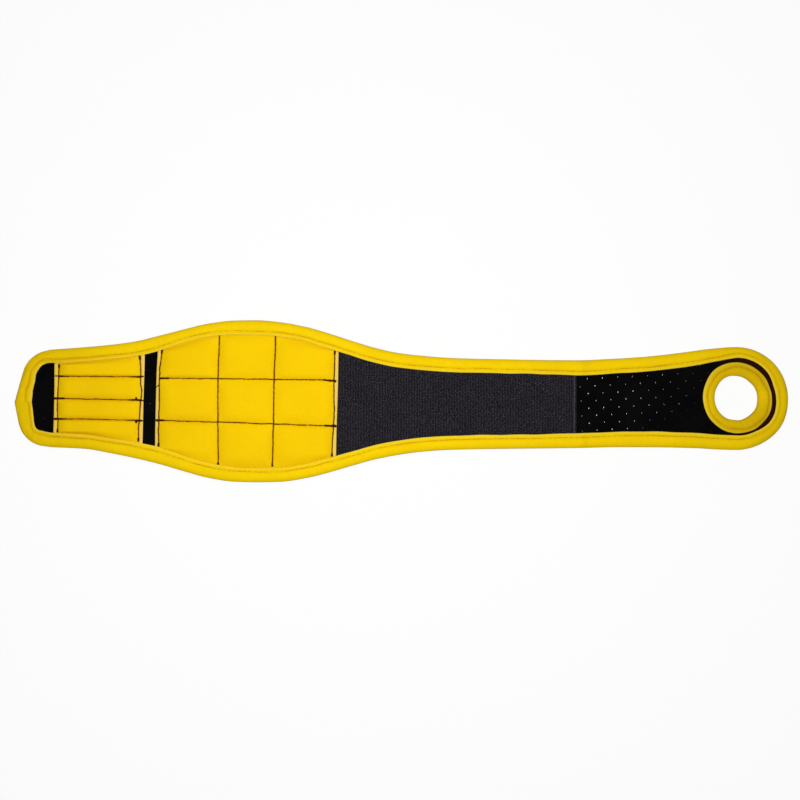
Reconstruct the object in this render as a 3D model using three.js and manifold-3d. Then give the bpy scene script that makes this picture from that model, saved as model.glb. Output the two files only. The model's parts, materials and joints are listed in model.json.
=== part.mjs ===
import * as THREE from 'three';
import { mergeVertices } from 'three/addons/utils/BufferGeometryUtils.js';
import Module from 'manifold-3d';

// Magnetic wristband, laid flat with its front up. Millimetres, +X from the hook end to the thumb end,
// +Z up from the back. A place is a distance along the band from the tip of the hook end.

const wasm = await Module();
wasm.setup();

// Outline of the whole band
const bandLength = 400;
const pocketWidth = 83.8;
const hookEndWidth = 51.6;
const strapWidth = 45.4;
const thumbEndWidth = 52.8;
const hookEndLift = 1.9;
const strapLift = -1.5;
const thumbEndLift = 1.6;
const shoulderPlace = 18.6;
const upperShoulderDrop = 1.3;
const lowerShoulderDrop = 0.6;
const hookFlarePlace = 36.2;
const widestShare = 0.545;
const strapFlareShare = 0.634;
const tipDrop = 2.4;
const upperCornerSetback = 6.9;
const upperCornerRadius = 15.5;
const lowerCornerSetback = 3.7;
const lowerCornerRadius = 10.5;
const upperCornerShare = 0.85;
const lowerCornerShare = 0.885;

// Each pair is a share of the way along the flare, and of the width gained there
const hookFlareShares = {
  upper: [[0.14, 0.07], [0.29, 0.19], [0.43, 0.4], [0.58, 0.63], [0.72, 0.84], [0.87, 0.97]],
  lower: [[0.14, 0.085], [0.29, 0.25], [0.43, 0.43], [0.58, 0.61], [0.72, 0.81], [0.87, 0.94]],
};
const strapFlareShares = {
  upper: [[0.1, 0.05], [0.21, 0.13], [0.31, 0.3], [0.41, 0.48], [0.51, 0.675], [0.61, 0.8], [0.71, 0.89], [0.83, 0.95]],
  lower: [[0.1, 0.03], [0.21, 0.12], [0.31, 0.27], [0.41, 0.47], [0.51, 0.67], [0.61, 0.82], [0.71, 0.915], [0.83, 0.96]],
};
const thumbFlareShares = {
  upper: [[0.24, 0.08], [0.39, 0.23], [0.54, 0.39], [0.69, 0.61], [0.85, 0.85]],
  lower: [[0.5, 0.2], [0.85, 0.8]],
};

// Layers, from the back up
const seamGap = 0.3;
const tapeThickness = 0.7;
const baseThickness = 2.6;
const stripThickness = 0.8;
const coverThickness = 0.7;

// Edge tape, folded over the edge of every layer
const flapWidth = 7.3;
const thumbFlapWidth = 6.4;
const tapeEdgeRadius = 1.2;
const tapeSeamInset = 4.9;
const tapeGrooveWidth = 1.2;
const tapeGrooveDepth = 0.2;
const tapeStepLength = 6;
const tapeStepOffset = 1.5;
const layerEdgeInset = 3;

// Thumb hole and its ring of tape
const thumbHoleRadius = 11.4;
const ringFlapWidth = 6.6;

// Channel panel at the hook end, with a bar magnet in each channel. The seams' shares are of the way from
// the middle of the hook end to the tape.
const channelPanelStart = 20.8;
const channelPanelLength = 46.4;
const channelSeamInset = 2.1;
const channelSeamShares = [-0.62, -0.05, 0.58];
const barMagnetLength = 32;
const barMagnetMargin = 0.35;

// Pocket panel, three columns of three pockets with a plate magnet in each. The seams' shares are of
// half the width of the band there.
const panelGap = 6.6;
const pocketSeamInset = 2;
const columnWidths = [30.1, 28.5, 31.2];
const pocketSeamShares = [-0.272, 0.267];
const plateMagnetLength = 18;
const plateMagnetMargin = 0.8;
const magnetThickness = 1.6;
const magnetClearance = 0.3;
const pocketCrown = 0.5;
const seamValleyWidth = 1.4;
const flapClearance = 0.4;

// Loop strip, and the bare sheet between it and the thumb end
const stripMargin = 1.4;
const sheetLength = 54.6;
const thumbEndLength = 55;

// Folds across the band: how far the part beyond each turns forwards and backwards
const foldGap = 0.4;
const foldForwardAngles = [25, 25, 25, 25, 40, 40, 50, 50, 50];
const foldBackwardAngles = [30, 35, 35, 35, 45, 45, 55, 55, 55];

// Thread
const threadWidth = 0.5;
const threadHeight = 0.4;
const tackWidth = 0.9;
const tackLength = 5;
const foldThreadInset = 1.35;
const stripSeamInset = 2.4;
const stripSeamSpan = 29;

// Perforations of the base sheet
const perforationRadius = 0.65;
const perforationPitch = 5.5;
const perforationTilt = -3;
const perforationSides = 6;
const perforationMargin = 0.9;

// Hook patch on the back
const patchEndMargin = 11.6;
const patchSideMargin = 4;
const patchCornerRadius = 3;

// Overrun of cutting shapes, and the steps of curves
const overrun = 2;
const edgeSteps = 54;
const stripSteps = 18;
const cornerSteps = 5;
const endSteps = 18;
const ringSteps = 36;

const colours = {
  base: '#141216',
  cover: '#f6cf0a',
  tape: '#eec40e',
  strip: '#26242a',
  thread: '#2a1c0c',
  paleThread: '#8f8f92',
  magnet: '#9a9ca0',
  patch: '#1a1a1c',
};

// Levels of the layers
const baseBottom = tapeThickness + seamGap;
const baseTop = baseBottom + baseThickness;
const layerBottom = baseTop + seamGap;
const stripTop = layerBottom + stripThickness;
const coverTop = layerBottom + coverThickness;
const raisedFlapBottom = Math.max(stripTop, coverTop) + seamGap;
const magnetTop = layerBottom + magnetThickness;
const pocketTop = magnetTop + magnetClearance + coverThickness;
const foldHeight = baseBottom + baseThickness / 2;
const highest = Math.max(raisedFlapBottom + tapeThickness, pocketTop + pocketCrown);

// Places along the band
const middle = bandLength / 2;
const channelPanelEnd = channelPanelStart + channelPanelLength;
const pocketPanelStart = channelPanelEnd + panelGap;
const pocketSeams = [pocketPanelStart + pocketSeamInset];
for (const columnWidth of columnWidths) pocketSeams.push(pocketSeams.at(-1) + columnWidth);
const pocketPanelEnd = pocketSeams.at(-1) + pocketSeamInset;
const stripStart = pocketPanelEnd + stripMargin;
const thumbFold = bandLength - thumbEndLength;
const stripEnd = thumbFold - sheetLength;
const stripLength = stripEnd - stripStart;
const thumbCentrePlace = bandLength - thumbEndWidth / 2;
const widestPlace = THREE.MathUtils.lerp(pocketPanelStart, pocketPanelEnd, widestShare);
const strapPlace = stripStart + strapFlareShare * stripLength;
const folds = [
  channelPanelEnd + panelGap / 2,
  pocketSeams[1],
  pocketSeams[2],
  stripStart,
  stripStart + stripLength / 3,
  stripStart + (2 * stripLength) / 3,
  stripEnd,
  stripEnd + sheetLength / 2,
  thumbFold,
];

// Smooth curve through stations of place and height, flat at its far end
function smoothEdge(stations) {
  const slopeBetween = (a, b) => (b[1] - a[1]) / (b[0] - a[0]);
  const slopes = stations.map((station, i) => {
    if (i === 0) return slopeBetween(station, stations[1]);
    if (i === stations.length - 1) return 0;
    const before = slopeBetween(stations[i - 1], station);
    const after = slopeBetween(station, stations[i + 1]);
    return before * after > 0 ? (2 * before * after) / (before + after) : 0;
  });
  return (place) => {
    const next = stations.findIndex((station) => station[0] > place);
    const i = next < 0 ? stations.length - 2 : Math.max(next - 1, 0);
    const span = stations[i + 1][0] - stations[i][0];
    const t = THREE.MathUtils.clamp((place - stations[i][0]) / span, 0, 1);
    const s = t * t * (3 - 2 * t);
    const bend = t * (1 - t) * span;
    return (
      stations[i][1] * (1 - s) + stations[i + 1][1] * s + bend * ((1 - t) * slopes[i] - t * slopes[i + 1])
    );
  };
}

// One long edge of the band, for side 1 above or -1 below
function bandEdge(side) {
  const name = side > 0 ? 'upper' : 'lower';
  const hookHeight = hookEndLift + (side * hookEndWidth) / 2;
  const pocketHeight = (side * pocketWidth) / 2;
  const strapHeight = strapLift + (side * strapWidth) / 2;
  const thumbHeight = thumbEndLift + (side * thumbEndWidth) / 2;
  const drop = side > 0 ? upperShoulderDrop : lowerShoulderDrop;
  const between = (shares, from, to, low, high) =>
    shares[name].map(([along, gained]) => [from + along * (to - from), low + gained * (high - low)]);
  return smoothEdge([
    [shoulderPlace, hookHeight - side * drop],
    [hookFlarePlace, hookHeight],
    ...between(hookFlareShares, hookFlarePlace, widestPlace, hookHeight, pocketHeight),
    [widestPlace, pocketHeight],
    ...between(strapFlareShares, widestPlace, strapPlace, pocketHeight, strapHeight),
    [strapPlace, strapHeight],
    [stripEnd, strapHeight],
    ...between(thumbFlareShares, stripEnd, thumbCentrePlace, strapHeight, thumbHeight),
    [thumbCentrePlace, thumbHeight],
  ]);
}

// Round the corner at a vertex between two points
function roundCorner(from, vertex, to, radius) {
  const inward = from.clone().sub(vertex).normalize();
  const outward = to.clone().sub(vertex).normalize();
  const half = inward.angleTo(outward) / 2;
  const centre = inward.clone().add(outward).normalize().multiplyScalar(radius / Math.sin(half)).add(vertex);
  const start = vertex.clone().addScaledVector(inward, radius / Math.tan(half)).sub(centre);
  const end = vertex.clone().addScaledVector(outward, radius / Math.tan(half)).sub(centre);
  const turn = Math.atan2(start.cross(end), start.dot(end));
  const points = [];
  for (let i = 0; i <= cornerSteps; i += 1) {
    points.push(start.clone().rotateAround(new THREE.Vector2(), (turn * i) / cornerSteps).add(centre));
  }
  return points;
}

// Closed outline, anticlockwise from the tip of the hook end, along the lower edge first
function bandOutline() {
  const upper = bandEdge(1);
  const lower = bandEdge(-1);
  const tip = new THREE.Vector2(0, hookEndLift - tipDrop);
  const upperVertex = new THREE.Vector2(upperCornerSetback, hookEndLift + (upperCornerShare * hookEndWidth) / 2);
  const lowerVertex = new THREE.Vector2(lowerCornerSetback, hookEndLift - (lowerCornerShare * hookEndWidth) / 2);
  const upperShoulder = new THREE.Vector2(shoulderPlace, upper(shoulderPlace));
  const lowerShoulder = new THREE.Vector2(shoulderPlace, lower(shoulderPlace));
  const points = [tip, ...roundCorner(tip, lowerVertex, lowerShoulder, lowerCornerRadius)];
  const run = thumbCentrePlace - shoulderPlace;
  for (let i = 0; i <= edgeSteps; i += 1) {
    const place = shoulderPlace + (run * i) / edgeSteps;
    points.push(new THREE.Vector2(place, lower(place)));
  }
  const thumbCentre = new THREE.Vector2(thumbCentrePlace, thumbEndLift);
  for (let i = 1; i < endSteps; i += 1) {
    const angle = Math.PI * (i / endSteps - 1 / 2);
    const spoke = new THREE.Vector2(Math.cos(angle), Math.sin(angle));
    points.push(spoke.multiplyScalar(thumbEndWidth / 2).add(thumbCentre));
  }
  for (let i = edgeSteps; i >= 0; i -= 1) {
    const place = shoulderPlace + (run * i) / edgeSteps;
    points.push(new THREE.Vector2(place, upper(place)));
  }
  points.push(...roundCorner(upperShoulder, upperVertex, tip, upperCornerRadius));
  return points;
}

const outline = bandOutline();

// Direction into the band at each point of the outline, lengthened at corners so that edges move evenly
const inwards = outline.map((point, i) => {
  const before = point.clone().sub(outline[(i + outline.length - 1) % outline.length]).normalize();
  const after = outline[(i + 1) % outline.length].clone().sub(point).normalize();
  const along = before.clone().add(after).normalize();
  return new THREE.Vector2(-along.y, along.x).divideScalar(Math.max(along.dot(after), 1 / 2));
});

function insetOutline(inset) {
  return outline.map((point, i) => point.clone().addScaledVector(inwards[i], inset));
}

// Height of the upper (side 1) or lower (side -1) run of an inset outline at a place
function insetHeight(inset, side) {
  const points = insetOutline(inset);
  const half = points.slice(1, points.length / 2 + 1);
  const run = side < 0 ? half : points.slice(points.length / 2).reverse();
  return (place) => {
    const next = Math.max(run.findIndex((point) => point.x > place), 1);
    const share = (place - run[next - 1].x) / (run[next].x - run[next - 1].x);
    return THREE.MathUtils.lerp(run[next - 1].y, run[next].y, share);
  };
}

const layerEdge = { upper: insetHeight(layerEdgeInset, 1), lower: insetHeight(layerEdgeInset, -1) };
const flapEdge = { upper: insetHeight(flapWidth, 1), lower: insetHeight(flapWidth, -1) };

function toSolid(geometry) {
  const bare = geometry.clone();
  bare.deleteAttribute('normal');
  bare.deleteAttribute('uv');
  const merged = mergeVertices(bare, seamGap / 1000);
  const vertProperties = new Float32Array(merged.attributes.position.array);
  const triVerts = new Uint32Array(merged.index.array);
  return new wasm.Manifold(new wasm.Mesh({ numProp: 3, vertProperties, triVerts }));
}

function toGeometry(solid) {
  const mesh = solid.getMesh();
  const geometry = new THREE.BufferGeometry();
  geometry.setAttribute('position', new THREE.BufferAttribute(new Float32Array(mesh.vertProperties), 3));
  geometry.setIndex(new THREE.BufferAttribute(new Uint32Array(mesh.triVerts), 1));
  geometry.computeVertexNormals();
  return geometry;
}

// Plate of a shape drawn in places and heights, from one level up to another
function plate(shape, bottom, top) {
  const geometry = new THREE.ExtrudeGeometry(shape, { depth: top - bottom, bevelEnabled: false, steps: 1 });
  return toSolid(geometry.translate(0, 0, bottom));
}

function boxShape(left, right, low, high) {
  const corners = [[left, low], [right, low], [right, high], [left, high]];
  return new THREE.Shape(corners.map(([x, y]) => new THREE.Vector2(x, y)));
}

// Slab of space that belongs to one body, between the folds on its left and right. Its faces lean
// away from the fold lines, so that neighbours turned to their limits still clear each other.
function bodySlab(index) {
  const top = highest + overrun;
  const bottom = -overrun;
  const foldFace = (fold, side) => {
    const near = folds[fold] + (side * foldGap) / 2;
    const above = Math.tan(THREE.MathUtils.degToRad(foldForwardAngles[fold] / 2)) * (top - foldHeight);
    const below = Math.tan(THREE.MathUtils.degToRad(foldBackwardAngles[fold] / 2)) * (foldHeight - bottom);
    return [[near + side * below, bottom], [near, foldHeight], [near + side * above, top]];
  };
  const endFace = (place) => [[place, bottom], [place, top]];
  const left = index === 0 ? endFace(-overrun) : foldFace(index - 1, 1);
  const right = index === folds.length ? endFace(bandLength + overrun) : foldFace(index, -1);
  const corners = [...right, ...left.reverse()].map(([x, z]) => new THREE.Vector2(x, z));
  const geometry = new THREE.ExtrudeGeometry(new THREE.Shape(corners), {
    depth: 2 * pocketWidth,
    bevelEnabled: false,
    steps: 1,
  });
  return toSolid(geometry.rotateX(Math.PI / 2).translate(0, pocketWidth, 0));
}

const bodyNames = [
  'hook_end', 'column_1', 'column_2', 'column_3', 'strap_1',
  'strap_2', 'strap_3', 'sheet_1', 'sheet_2', 'thumb_end',
];
const slabs = bodyNames.map((name, index) => bodySlab(index));

const band = new THREE.Group();
band.name = 'magnetic_wristband';

function addPiece(name, solid, colour, roughness, metalness = 0) {
  const material = new THREE.MeshStandardMaterial({ color: colour, roughness, metalness });
  const mesh = new THREE.Mesh(toGeometry(solid), material);
  mesh.name = name;
  mesh.position.x = -middle;
  band.add(mesh);
}

// Whether a perforation at this point lies in open sheet, clear of folds, tape and ring
function perforationFits(point) {
  const reach = perforationRadius + perforationMargin;
  const beyondStrip = point.x > stripEnd + reach;
  const offFolds = folds.every((place) => Math.abs(point.x - place) > reach);
  const ringReach = thumbHoleRadius + ringFlapWidth + reach;
  const offRing = point.distanceTo(new THREE.Vector2(thumbCentrePlace, thumbEndLift)) > ringReach;
  const offTape = point.y < flapEdge.upper(point.x) - reach && point.y > flapEdge.lower(point.x) + reach;
  return beyondStrip && offFolds && offRing && offTape && point.x < thumbCentrePlace;
}

function perforationCentres() {
  const row = perforationPitch * Math.SQRT1_2;
  const count = Math.ceil((thumbCentrePlace - stripEnd) / row) + 1;
  const centres = [];
  for (let i = 0; i <= count; i += 1) {
    for (let j = -count; j <= count; j += 1) {
      const point = new THREE.Vector2(i * row, j * row);
      point.rotateAround(new THREE.Vector2(), THREE.MathUtils.degToRad(-perforationTilt));
      point.add(new THREE.Vector2(stripEnd, strapLift));
      if ((i + j) % 2 === 0 && perforationFits(point)) centres.push(point);
    }
  }
  return centres;
}

function roundHole(centre, radius, sides) {
  const points = [];
  for (let i = 0; i < sides; i += 1) {
    const angle = (2 * Math.PI * i) / sides;
    points.push(new THREE.Vector2(Math.cos(angle), Math.sin(angle)).multiplyScalar(radius).add(centre));
  }
  return new THREE.Path(points);
}

// Base sheet, one layer the whole length of the band, inside the edge tape
function buildBase() {
  const shape = new THREE.Shape(insetOutline(tapeThickness + seamGap));
  const thumbCentre = new THREE.Vector2(thumbCentrePlace, thumbEndLift);
  shape.holes.push(roundHole(thumbCentre, thumbHoleRadius + tapeThickness + seamGap, ringSteps));
  for (const centre of perforationCentres()) {
    shape.holes.push(roundHole(centre, perforationRadius, perforationSides));
  }
  const whole = plate(shape, baseBottom, baseTop);
  bodyNames.forEach((name, i) => addPiece(`base_${name}`, whole.intersect(slabs[i]), colours.base, 0.9));
}

// Section of folded tape: distance in from the folded edge, and level
function tapeSection(width, flapBottom, seamInset) {
  const top = flapBottom + tapeThickness;
  const groove = tapeGrooveWidth / 2;
  return [
    [width, 0],
    [tapeEdgeRadius, 0],
    [0, tapeEdgeRadius],
    [0, top - tapeEdgeRadius],
    [tapeEdgeRadius, top],
    [seamInset - groove, top],
    [seamInset, top - tapeGrooveDepth],
    [seamInset + groove, top],
    [width, top],
    [width, flapBottom],
    [tapeThickness, flapBottom],
    [tapeThickness, tapeThickness],
    [width, tapeThickness],
  ];
}

// Closed lattice of rings of points, joined ring to ring and last to first
function closedLattice(rings) {
  const size = rings[0].length;
  const positions = rings.flat(2);
  const indices = [];
  rings.forEach((ring, i) => {
    const next = (i + 1) % rings.length;
    for (let j = 0; j < size; j += 1) {
      const k = (j + 1) % size;
      const corners = [i * size + j, next * size + j, next * size + k, i * size + k];
      indices.push(corners[0], corners[1], corners[2], corners[0], corners[2], corners[3]);
    }
  });
  const geometry = new THREE.BufferGeometry();
  geometry.setAttribute('position', new THREE.Float32BufferAttribute(positions, 3));
  geometry.setIndex(indices);
  return toSolid(geometry);
}

// Edge tape round the whole outline, lower over the bare sheet and narrower round the thumb end
function buildEdgeTape() {
  const stepStart = stripEnd + tapeStepOffset;
  const rings = outline.map((point, i) => {
    const lowered = THREE.MathUtils.smoothstep(point.x, stepStart, stepStart + tapeStepLength);
    const flapBottom = THREE.MathUtils.lerp(raisedFlapBottom, layerBottom, lowered);
    const narrowed = THREE.MathUtils.smoothstep(point.x, thumbFold, thumbCentrePlace);
    const width = THREE.MathUtils.lerp(flapWidth, thumbFlapWidth, narrowed);
    const seamInset = (tapeSeamInset * width) / flapWidth;
    return tapeSection(width, flapBottom, seamInset).map(([inset, level]) => {
      const spot = point.clone().addScaledVector(inwards[i], inset);
      return [spot.x, spot.y, level];
    });
  });
  const whole = closedLattice(rings);
  const halves = {
    upper: plate(boxShape(-overrun, bandLength + overrun, strapLift, pocketWidth), -overrun, highest + overrun),
    lower: plate(boxShape(-overrun, bandLength + overrun, -pocketWidth, strapLift), -overrun, highest + overrun),
  };
  bodyNames.forEach((name, i) => {
    const run = whole.intersect(slabs[i]);
    if (i === 0 || i === folds.length) {
      addPiece(`edge_tape_${name}`, run, colours.tape, 0.75);
      return;
    }
    for (const [side, half] of Object.entries(halves)) {
      addPiece(`edge_tape_${name}_${side}`, run.intersect(half), colours.tape, 0.75);
    }
  });
}

// Ring round the thumb hole, from a closed section of radius and level
function thumbRing(section) {
  const profile = section.map(([radius, level]) => new THREE.Vector2(radius, level));
  const geometry = new THREE.LatheGeometry([...profile, profile[0].clone()].reverse(), ringSteps);
  return toSolid(geometry.rotateX(Math.PI / 2).translate(thumbCentrePlace, thumbEndLift, 0));
}

// Ring of tape round the edge of the thumb hole, with its seam
function buildThumbRing() {
  const seamInset = (tapeSeamInset * ringFlapWidth) / flapWidth;
  const tape = tapeSection(ringFlapWidth, layerBottom, seamInset);
  const section = tape.map(([inset, level]) => [thumbHoleRadius + inset, level]);
  addPiece('thumb_hole_tape', thumbRing(section), colours.tape, 0.75);
  const seamRadius = thumbHoleRadius + seamInset;
  const bottom = layerBottom + tapeThickness - tapeGrooveDepth + seamGap;
  const thread = thumbRing([
    [seamRadius + threadWidth / 2, bottom],
    [seamRadius - threadWidth / 2, bottom],
    [seamRadius - threadWidth / 2, bottom + threadHeight],
    [seamRadius + threadWidth / 2, bottom + threadHeight],
  ]);
  addPiece('thumb_hole_thread', thread, colours.tape, 0.8);
}

// Loop strip along the front of the strap
function buildLoopStrip() {
  const points = [];
  for (let i = 0; i <= stripSteps; i += 1) {
    const place = stripStart + (stripLength * i) / stripSteps;
    points.push(new THREE.Vector2(place, layerEdge.lower(place)));
  }
  for (let i = stripSteps; i >= 0; i -= 1) {
    const place = stripStart + (stripLength * i) / stripSteps;
    points.push(new THREE.Vector2(place, layerEdge.upper(place)));
  }
  const whole = plate(new THREE.Shape(points), layerBottom, stripTop);
  bodyNames.forEach((name, i) => {
    if (name.startsWith('strap')) addPiece(`loop_strip_${name}`, whole.intersect(slabs[i]), colours.strip, 0.95);
  });
}

// Lift of the crown of a pocket, where a seam has 0 and the edge of a magnet 1
const crownLift = 2;

// Quilted panel from columns, which are places, and rows, which are functions of place, each with its
// lift. Its underside is flat.
function quiltedPanel(columns, rows) {
  const lift = pocketTop - coverTop;
  const crown = pocketCrown / lift;
  const level = (a, b) => coverTop + lift * (Math.min(a, 1) * Math.min(b, 1) + (a > 1 && b > 1 ? crown : 0));
  const positions = [];
  const addLayer = (levelAt) => {
    for (const row of rows) {
      for (const column of columns) {
        positions.push(column.place, row.height(column.place), levelAt(column, row));
      }
    }
  };
  addLayer((column, row) => level(column.lift, row.lift));
  addLayer(() => layerBottom);
  const perRow = columns.length;
  const perColumn = rows.length;
  const under = perRow * perColumn;
  const indices = [];
  const addQuad = (a, b, c, d) => indices.push(a, b, c, a, c, d);
  for (let j = 0; j + 1 < perColumn; j += 1) {
    for (let i = 0; i + 1 < perRow; i += 1) {
      const a = j * perRow + i;
      const b = a + perRow;
      addQuad(a, a + 1, b + 1, b);
      addQuad(under + b, under + b + 1, under + a + 1, under + a);
    }
  }
  const addWall = (a, b) => addQuad(under + a, under + b, b, a);
  for (let i = 1; i < perRow; i += 1) {
    addWall(i - 1, i);
    addWall(under - i, under - i - 1);
  }
  for (let j = 1; j < perColumn; j += 1) {
    addWall(j * perRow - 1, (j + 1) * perRow - 1);
    addWall(j * perRow, (j - 1) * perRow);
  }
  const geometry = new THREE.BufferGeometry();
  geometry.setAttribute('position', new THREE.Float32BufferAttribute(positions, 3));
  geometry.setIndex(indices);
  return toSolid(geometry);
}

// Columns of a quilted panel: a flat margin at each end, and a crowned rise over the magnets between
function panelColumns(start, riseStart, magnetStart, magnetEnd, riseEnd, end) {
  const third = (magnetEnd - magnetStart) / 3;
  return [
    { place: start, lift: 0 },
    { place: riseStart, lift: 0 },
    { place: magnetStart, lift: 1 },
    { place: magnetStart + third, lift: crownLift },
    { place: magnetEnd - third, lift: crownLift },
    { place: magnetEnd, lift: 1 },
    { place: riseEnd, lift: 0 },
    { place: end, lift: 0 },
  ];
}

// Rows of magnets in a panel: the middle of each and the clear width of the narrowest. Each lies between
// two seams, or a seam and the edge tape where that leaves the least room between two places.
function magnetRows(seamHeights, room) {
  const bounds = [room.lower - seamValleyWidth / 2, ...seamHeights, room.upper + seamValleyWidth / 2];
  const clear = bounds.slice(1).map((bound, i) => bound - bounds[i] - seamValleyWidth);
  return {
    middles: bounds.slice(1).map((bound, i) => (bound + bounds[i]) / 2),
    narrowest: Math.min(...clear),
  };
}

// Room that the edge tape leaves to a panel all the way between two places
function roomBetween(start, end) {
  return {
    lower: Math.max(flapEdge.lower(start), flapEdge.lower(end)) + flapClearance,
    upper: Math.min(flapEdge.upper(start), flapEdge.upper(end)) - flapClearance,
  };
}

// Rows of a quilted panel, from the lower edge under the tape to the upper one. Those of the two outer
// rows of magnets spread with the tape's edge.
function panelRows(seamHeights, middles, halfRow, room) {
  const valley = seamValleyWidth / 2;
  const last = seamHeights.length;
  const lowerSeam = seamHeights[0] - valley;
  const upperSeam = seamHeights[last - 1] + valley;
  const edges = {
    lower: (place) => flapEdge.lower(place) + flapClearance,
    upper: (place) => flapEdge.upper(place) - flapClearance,
  };
  const spread = (side, seam, height) => {
    const share = (height - seam) / (room[side] - seam);
    return (place) => THREE.MathUtils.lerp(seam, edges[side](place), share);
  };
  const rowAt = (i, height) => {
    if (i === 0) return spread('lower', lowerSeam, height);
    if (i === last) return spread('upper', upperSeam, height);
    return () => height;
  };
  const rows = [{ height: layerEdge.lower, lift: 0 }, { height: edges.lower, lift: 0 }];
  middles.forEach((middleHeight, i) => {
    if (i > 0) rows.push({ height: () => seamHeights[i - 1] + valley, lift: 0 });
    rows.push({ height: rowAt(i, middleHeight - halfRow), lift: 1 });
    rows.push({ height: rowAt(i, middleHeight), lift: crownLift });
    rows.push({ height: rowAt(i, middleHeight + halfRow), lift: 1 });
    if (i < last) rows.push({ height: () => seamHeights[i] - valley, lift: 0 });
  });
  rows.push({ height: edges.upper, lift: 0 }, { height: layerEdge.upper, lift: 0 });
  return rows;
}

function magnetBox(x, y, length, width, clearance) {
  const reachX = length / 2 + clearance;
  const reachY = width / 2 + clearance;
  const shape = boxShape(x - reachX, x + reachX, y - reachY, y + reachY);
  return plate(shape, clearance > 0 ? layerBottom - overrun : layerBottom, magnetTop + clearance);
}

function seamThread(from, to) {
  const along = to.clone().sub(from).normalize();
  const across = new THREE.Vector2(-along.y, along.x);
  const at = (base, forward, sideways) =>
    base.clone().addScaledVector(along, forward).addScaledVector(across, sideways);
  const thin = threadWidth / 2;
  const thick = tackWidth / 2;
  const corners = [
    at(from, 0, -thick), at(from, tackLength, -thick), at(from, tackLength, -thin),
    at(to, -tackLength, -thin), at(to, -tackLength, -thick), at(to, 0, -thick),
    at(to, 0, thick), at(to, -tackLength, thick), at(to, -tackLength, thin),
    at(from, tackLength, thin), at(from, tackLength, thick), at(from, 0, thick),
  ];
  const bottom = coverTop + seamGap;
  return plate(new THREE.Shape(corners), bottom, bottom + threadHeight);
}

function joinAll(solids) {
  return solids.reduce((whole, solid) => whole.add(solid));
}

// Ladder of thread: long seams at some heights, and cross seams at some places
function seamLadder(start, end, seamHeights, seamPlaces) {
  const long = seamHeights.map((height) => [new THREE.Vector2(start, height), new THREE.Vector2(end, height)]);
  const cross = seamPlaces.map((place) => [
    new THREE.Vector2(place, flapEdge.lower(place) + flapClearance + tackWidth),
    new THREE.Vector2(place, flapEdge.upper(place) - flapClearance - tackWidth),
  ]);
  return joinAll([...long, ...cross].map(([from, to]) => seamThread(from, to)));
}

function addMagnet(name, x, y, length, width) {
  addPiece(name, magnetBox(x, y, length, width, 0), colours.magnet, 0.35, 0.9);
}

// Panel of narrow channels at the hook end
function buildChannelPanel() {
  const centre = (channelPanelStart + channelPanelEnd) / 2;
  const reach = barMagnetLength / 2 + magnetClearance;
  const seams = [channelPanelStart + channelSeamInset, channelPanelEnd - channelSeamInset];
  const seamHeights = channelSeamShares.map((share) => hookEndLift + share * (hookEndWidth / 2 - flapWidth));
  const room = roomBetween(centre - reach, centre + reach);
  const { middles, narrowest } = magnetRows(seamHeights, room);
  const halfRow = narrowest / 2 - barMagnetMargin;
  const magnetWidth = 2 * (halfRow - magnetClearance);
  const valley = seamValleyWidth / 2;
  const columns = panelColumns(
    channelPanelStart, seams[0] + valley, centre - reach, centre + reach, seams[1] - valley, channelPanelEnd,
  );
  const rows = panelRows(seamHeights, middles, halfRow, room);
  let panel = quiltedPanel(columns, rows);
  middles.forEach((y, i) => {
    panel = panel.subtract(magnetBox(centre, y, barMagnetLength, magnetWidth, magnetClearance));
    addMagnet(`bar_magnet_${i + 1}`, centre, y, barMagnetLength, magnetWidth);
  });
  addPiece('channel_panel', panel.intersect(slabs[0]), colours.cover, 0.7);
  const threads = seamLadder(channelPanelStart, channelPanelEnd, seamHeights, seams);
  addPiece('channel_panel_thread', threads.intersect(slabs[0]), colours.thread, 0.8);
}

// Panel of pockets, folded along its two inner seams
function buildPocketPanel() {
  const seams = pocketSeams;
  const last = columnWidths.length - 1;
  const valley = seamValleyWidth / 2;
  const foldValley = foldThreadInset + valley;
  const centres = columnWidths.map((columnWidth, i) => seams[i] + columnWidth / 2);
  const reach = plateMagnetLength / 2 + magnetClearance;
  const seamHeights = pocketSeamShares.map((share) => (share * pocketWidth) / 2);
  const rooms = centres.map((centre) => roomBetween(centre - reach, centre + reach));
  const layouts = rooms.map((room) => magnetRows(seamHeights, room));
  const halfRow = Math.min(...layouts.map((layout) => layout.narrowest)) / 2 - plateMagnetMargin;
  const magnetWidth = 2 * (halfRow - magnetClearance);
  const threadPlaces = [
    [seams[0], seams[1] - foldThreadInset],
    [seams[2] - foldThreadInset],
    [seams[3]],
  ];
  centres.forEach((centre, i) => {
    const start = i === 0 ? pocketPanelStart : seams[i];
    const end = i === last ? pocketPanelEnd : seams[i + 1];
    const riseStart = seams[i] + (i === 0 ? valley : foldValley);
    const riseEnd = seams[i + 1] - (i === last ? valley : foldValley);
    const columns = panelColumns(start, riseStart, centre - reach, centre + reach, riseEnd, end);
    const rows = panelRows(seamHeights, layouts[i].middles, halfRow, rooms[i]);
    let cover = quiltedPanel(columns, rows);
    layouts[i].middles.forEach((y, j) => {
      cover = cover.subtract(magnetBox(centre, y, plateMagnetLength, magnetWidth, magnetClearance));
      addMagnet(`plate_magnet_${i + 1}_${j + 1}`, centre, y, plateMagnetLength, magnetWidth);
    });
    addPiece(`pocket_cover_${i + 1}`, cover.intersect(slabs[i + 1]), colours.cover, 0.7);
    const threads = seamLadder(start, end, seamHeights, threadPlaces[i]);
    addPiece(`pocket_thread_${i + 1}`, threads.intersect(slabs[i + 1]), colours.thread, 0.8);
  });
}

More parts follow.
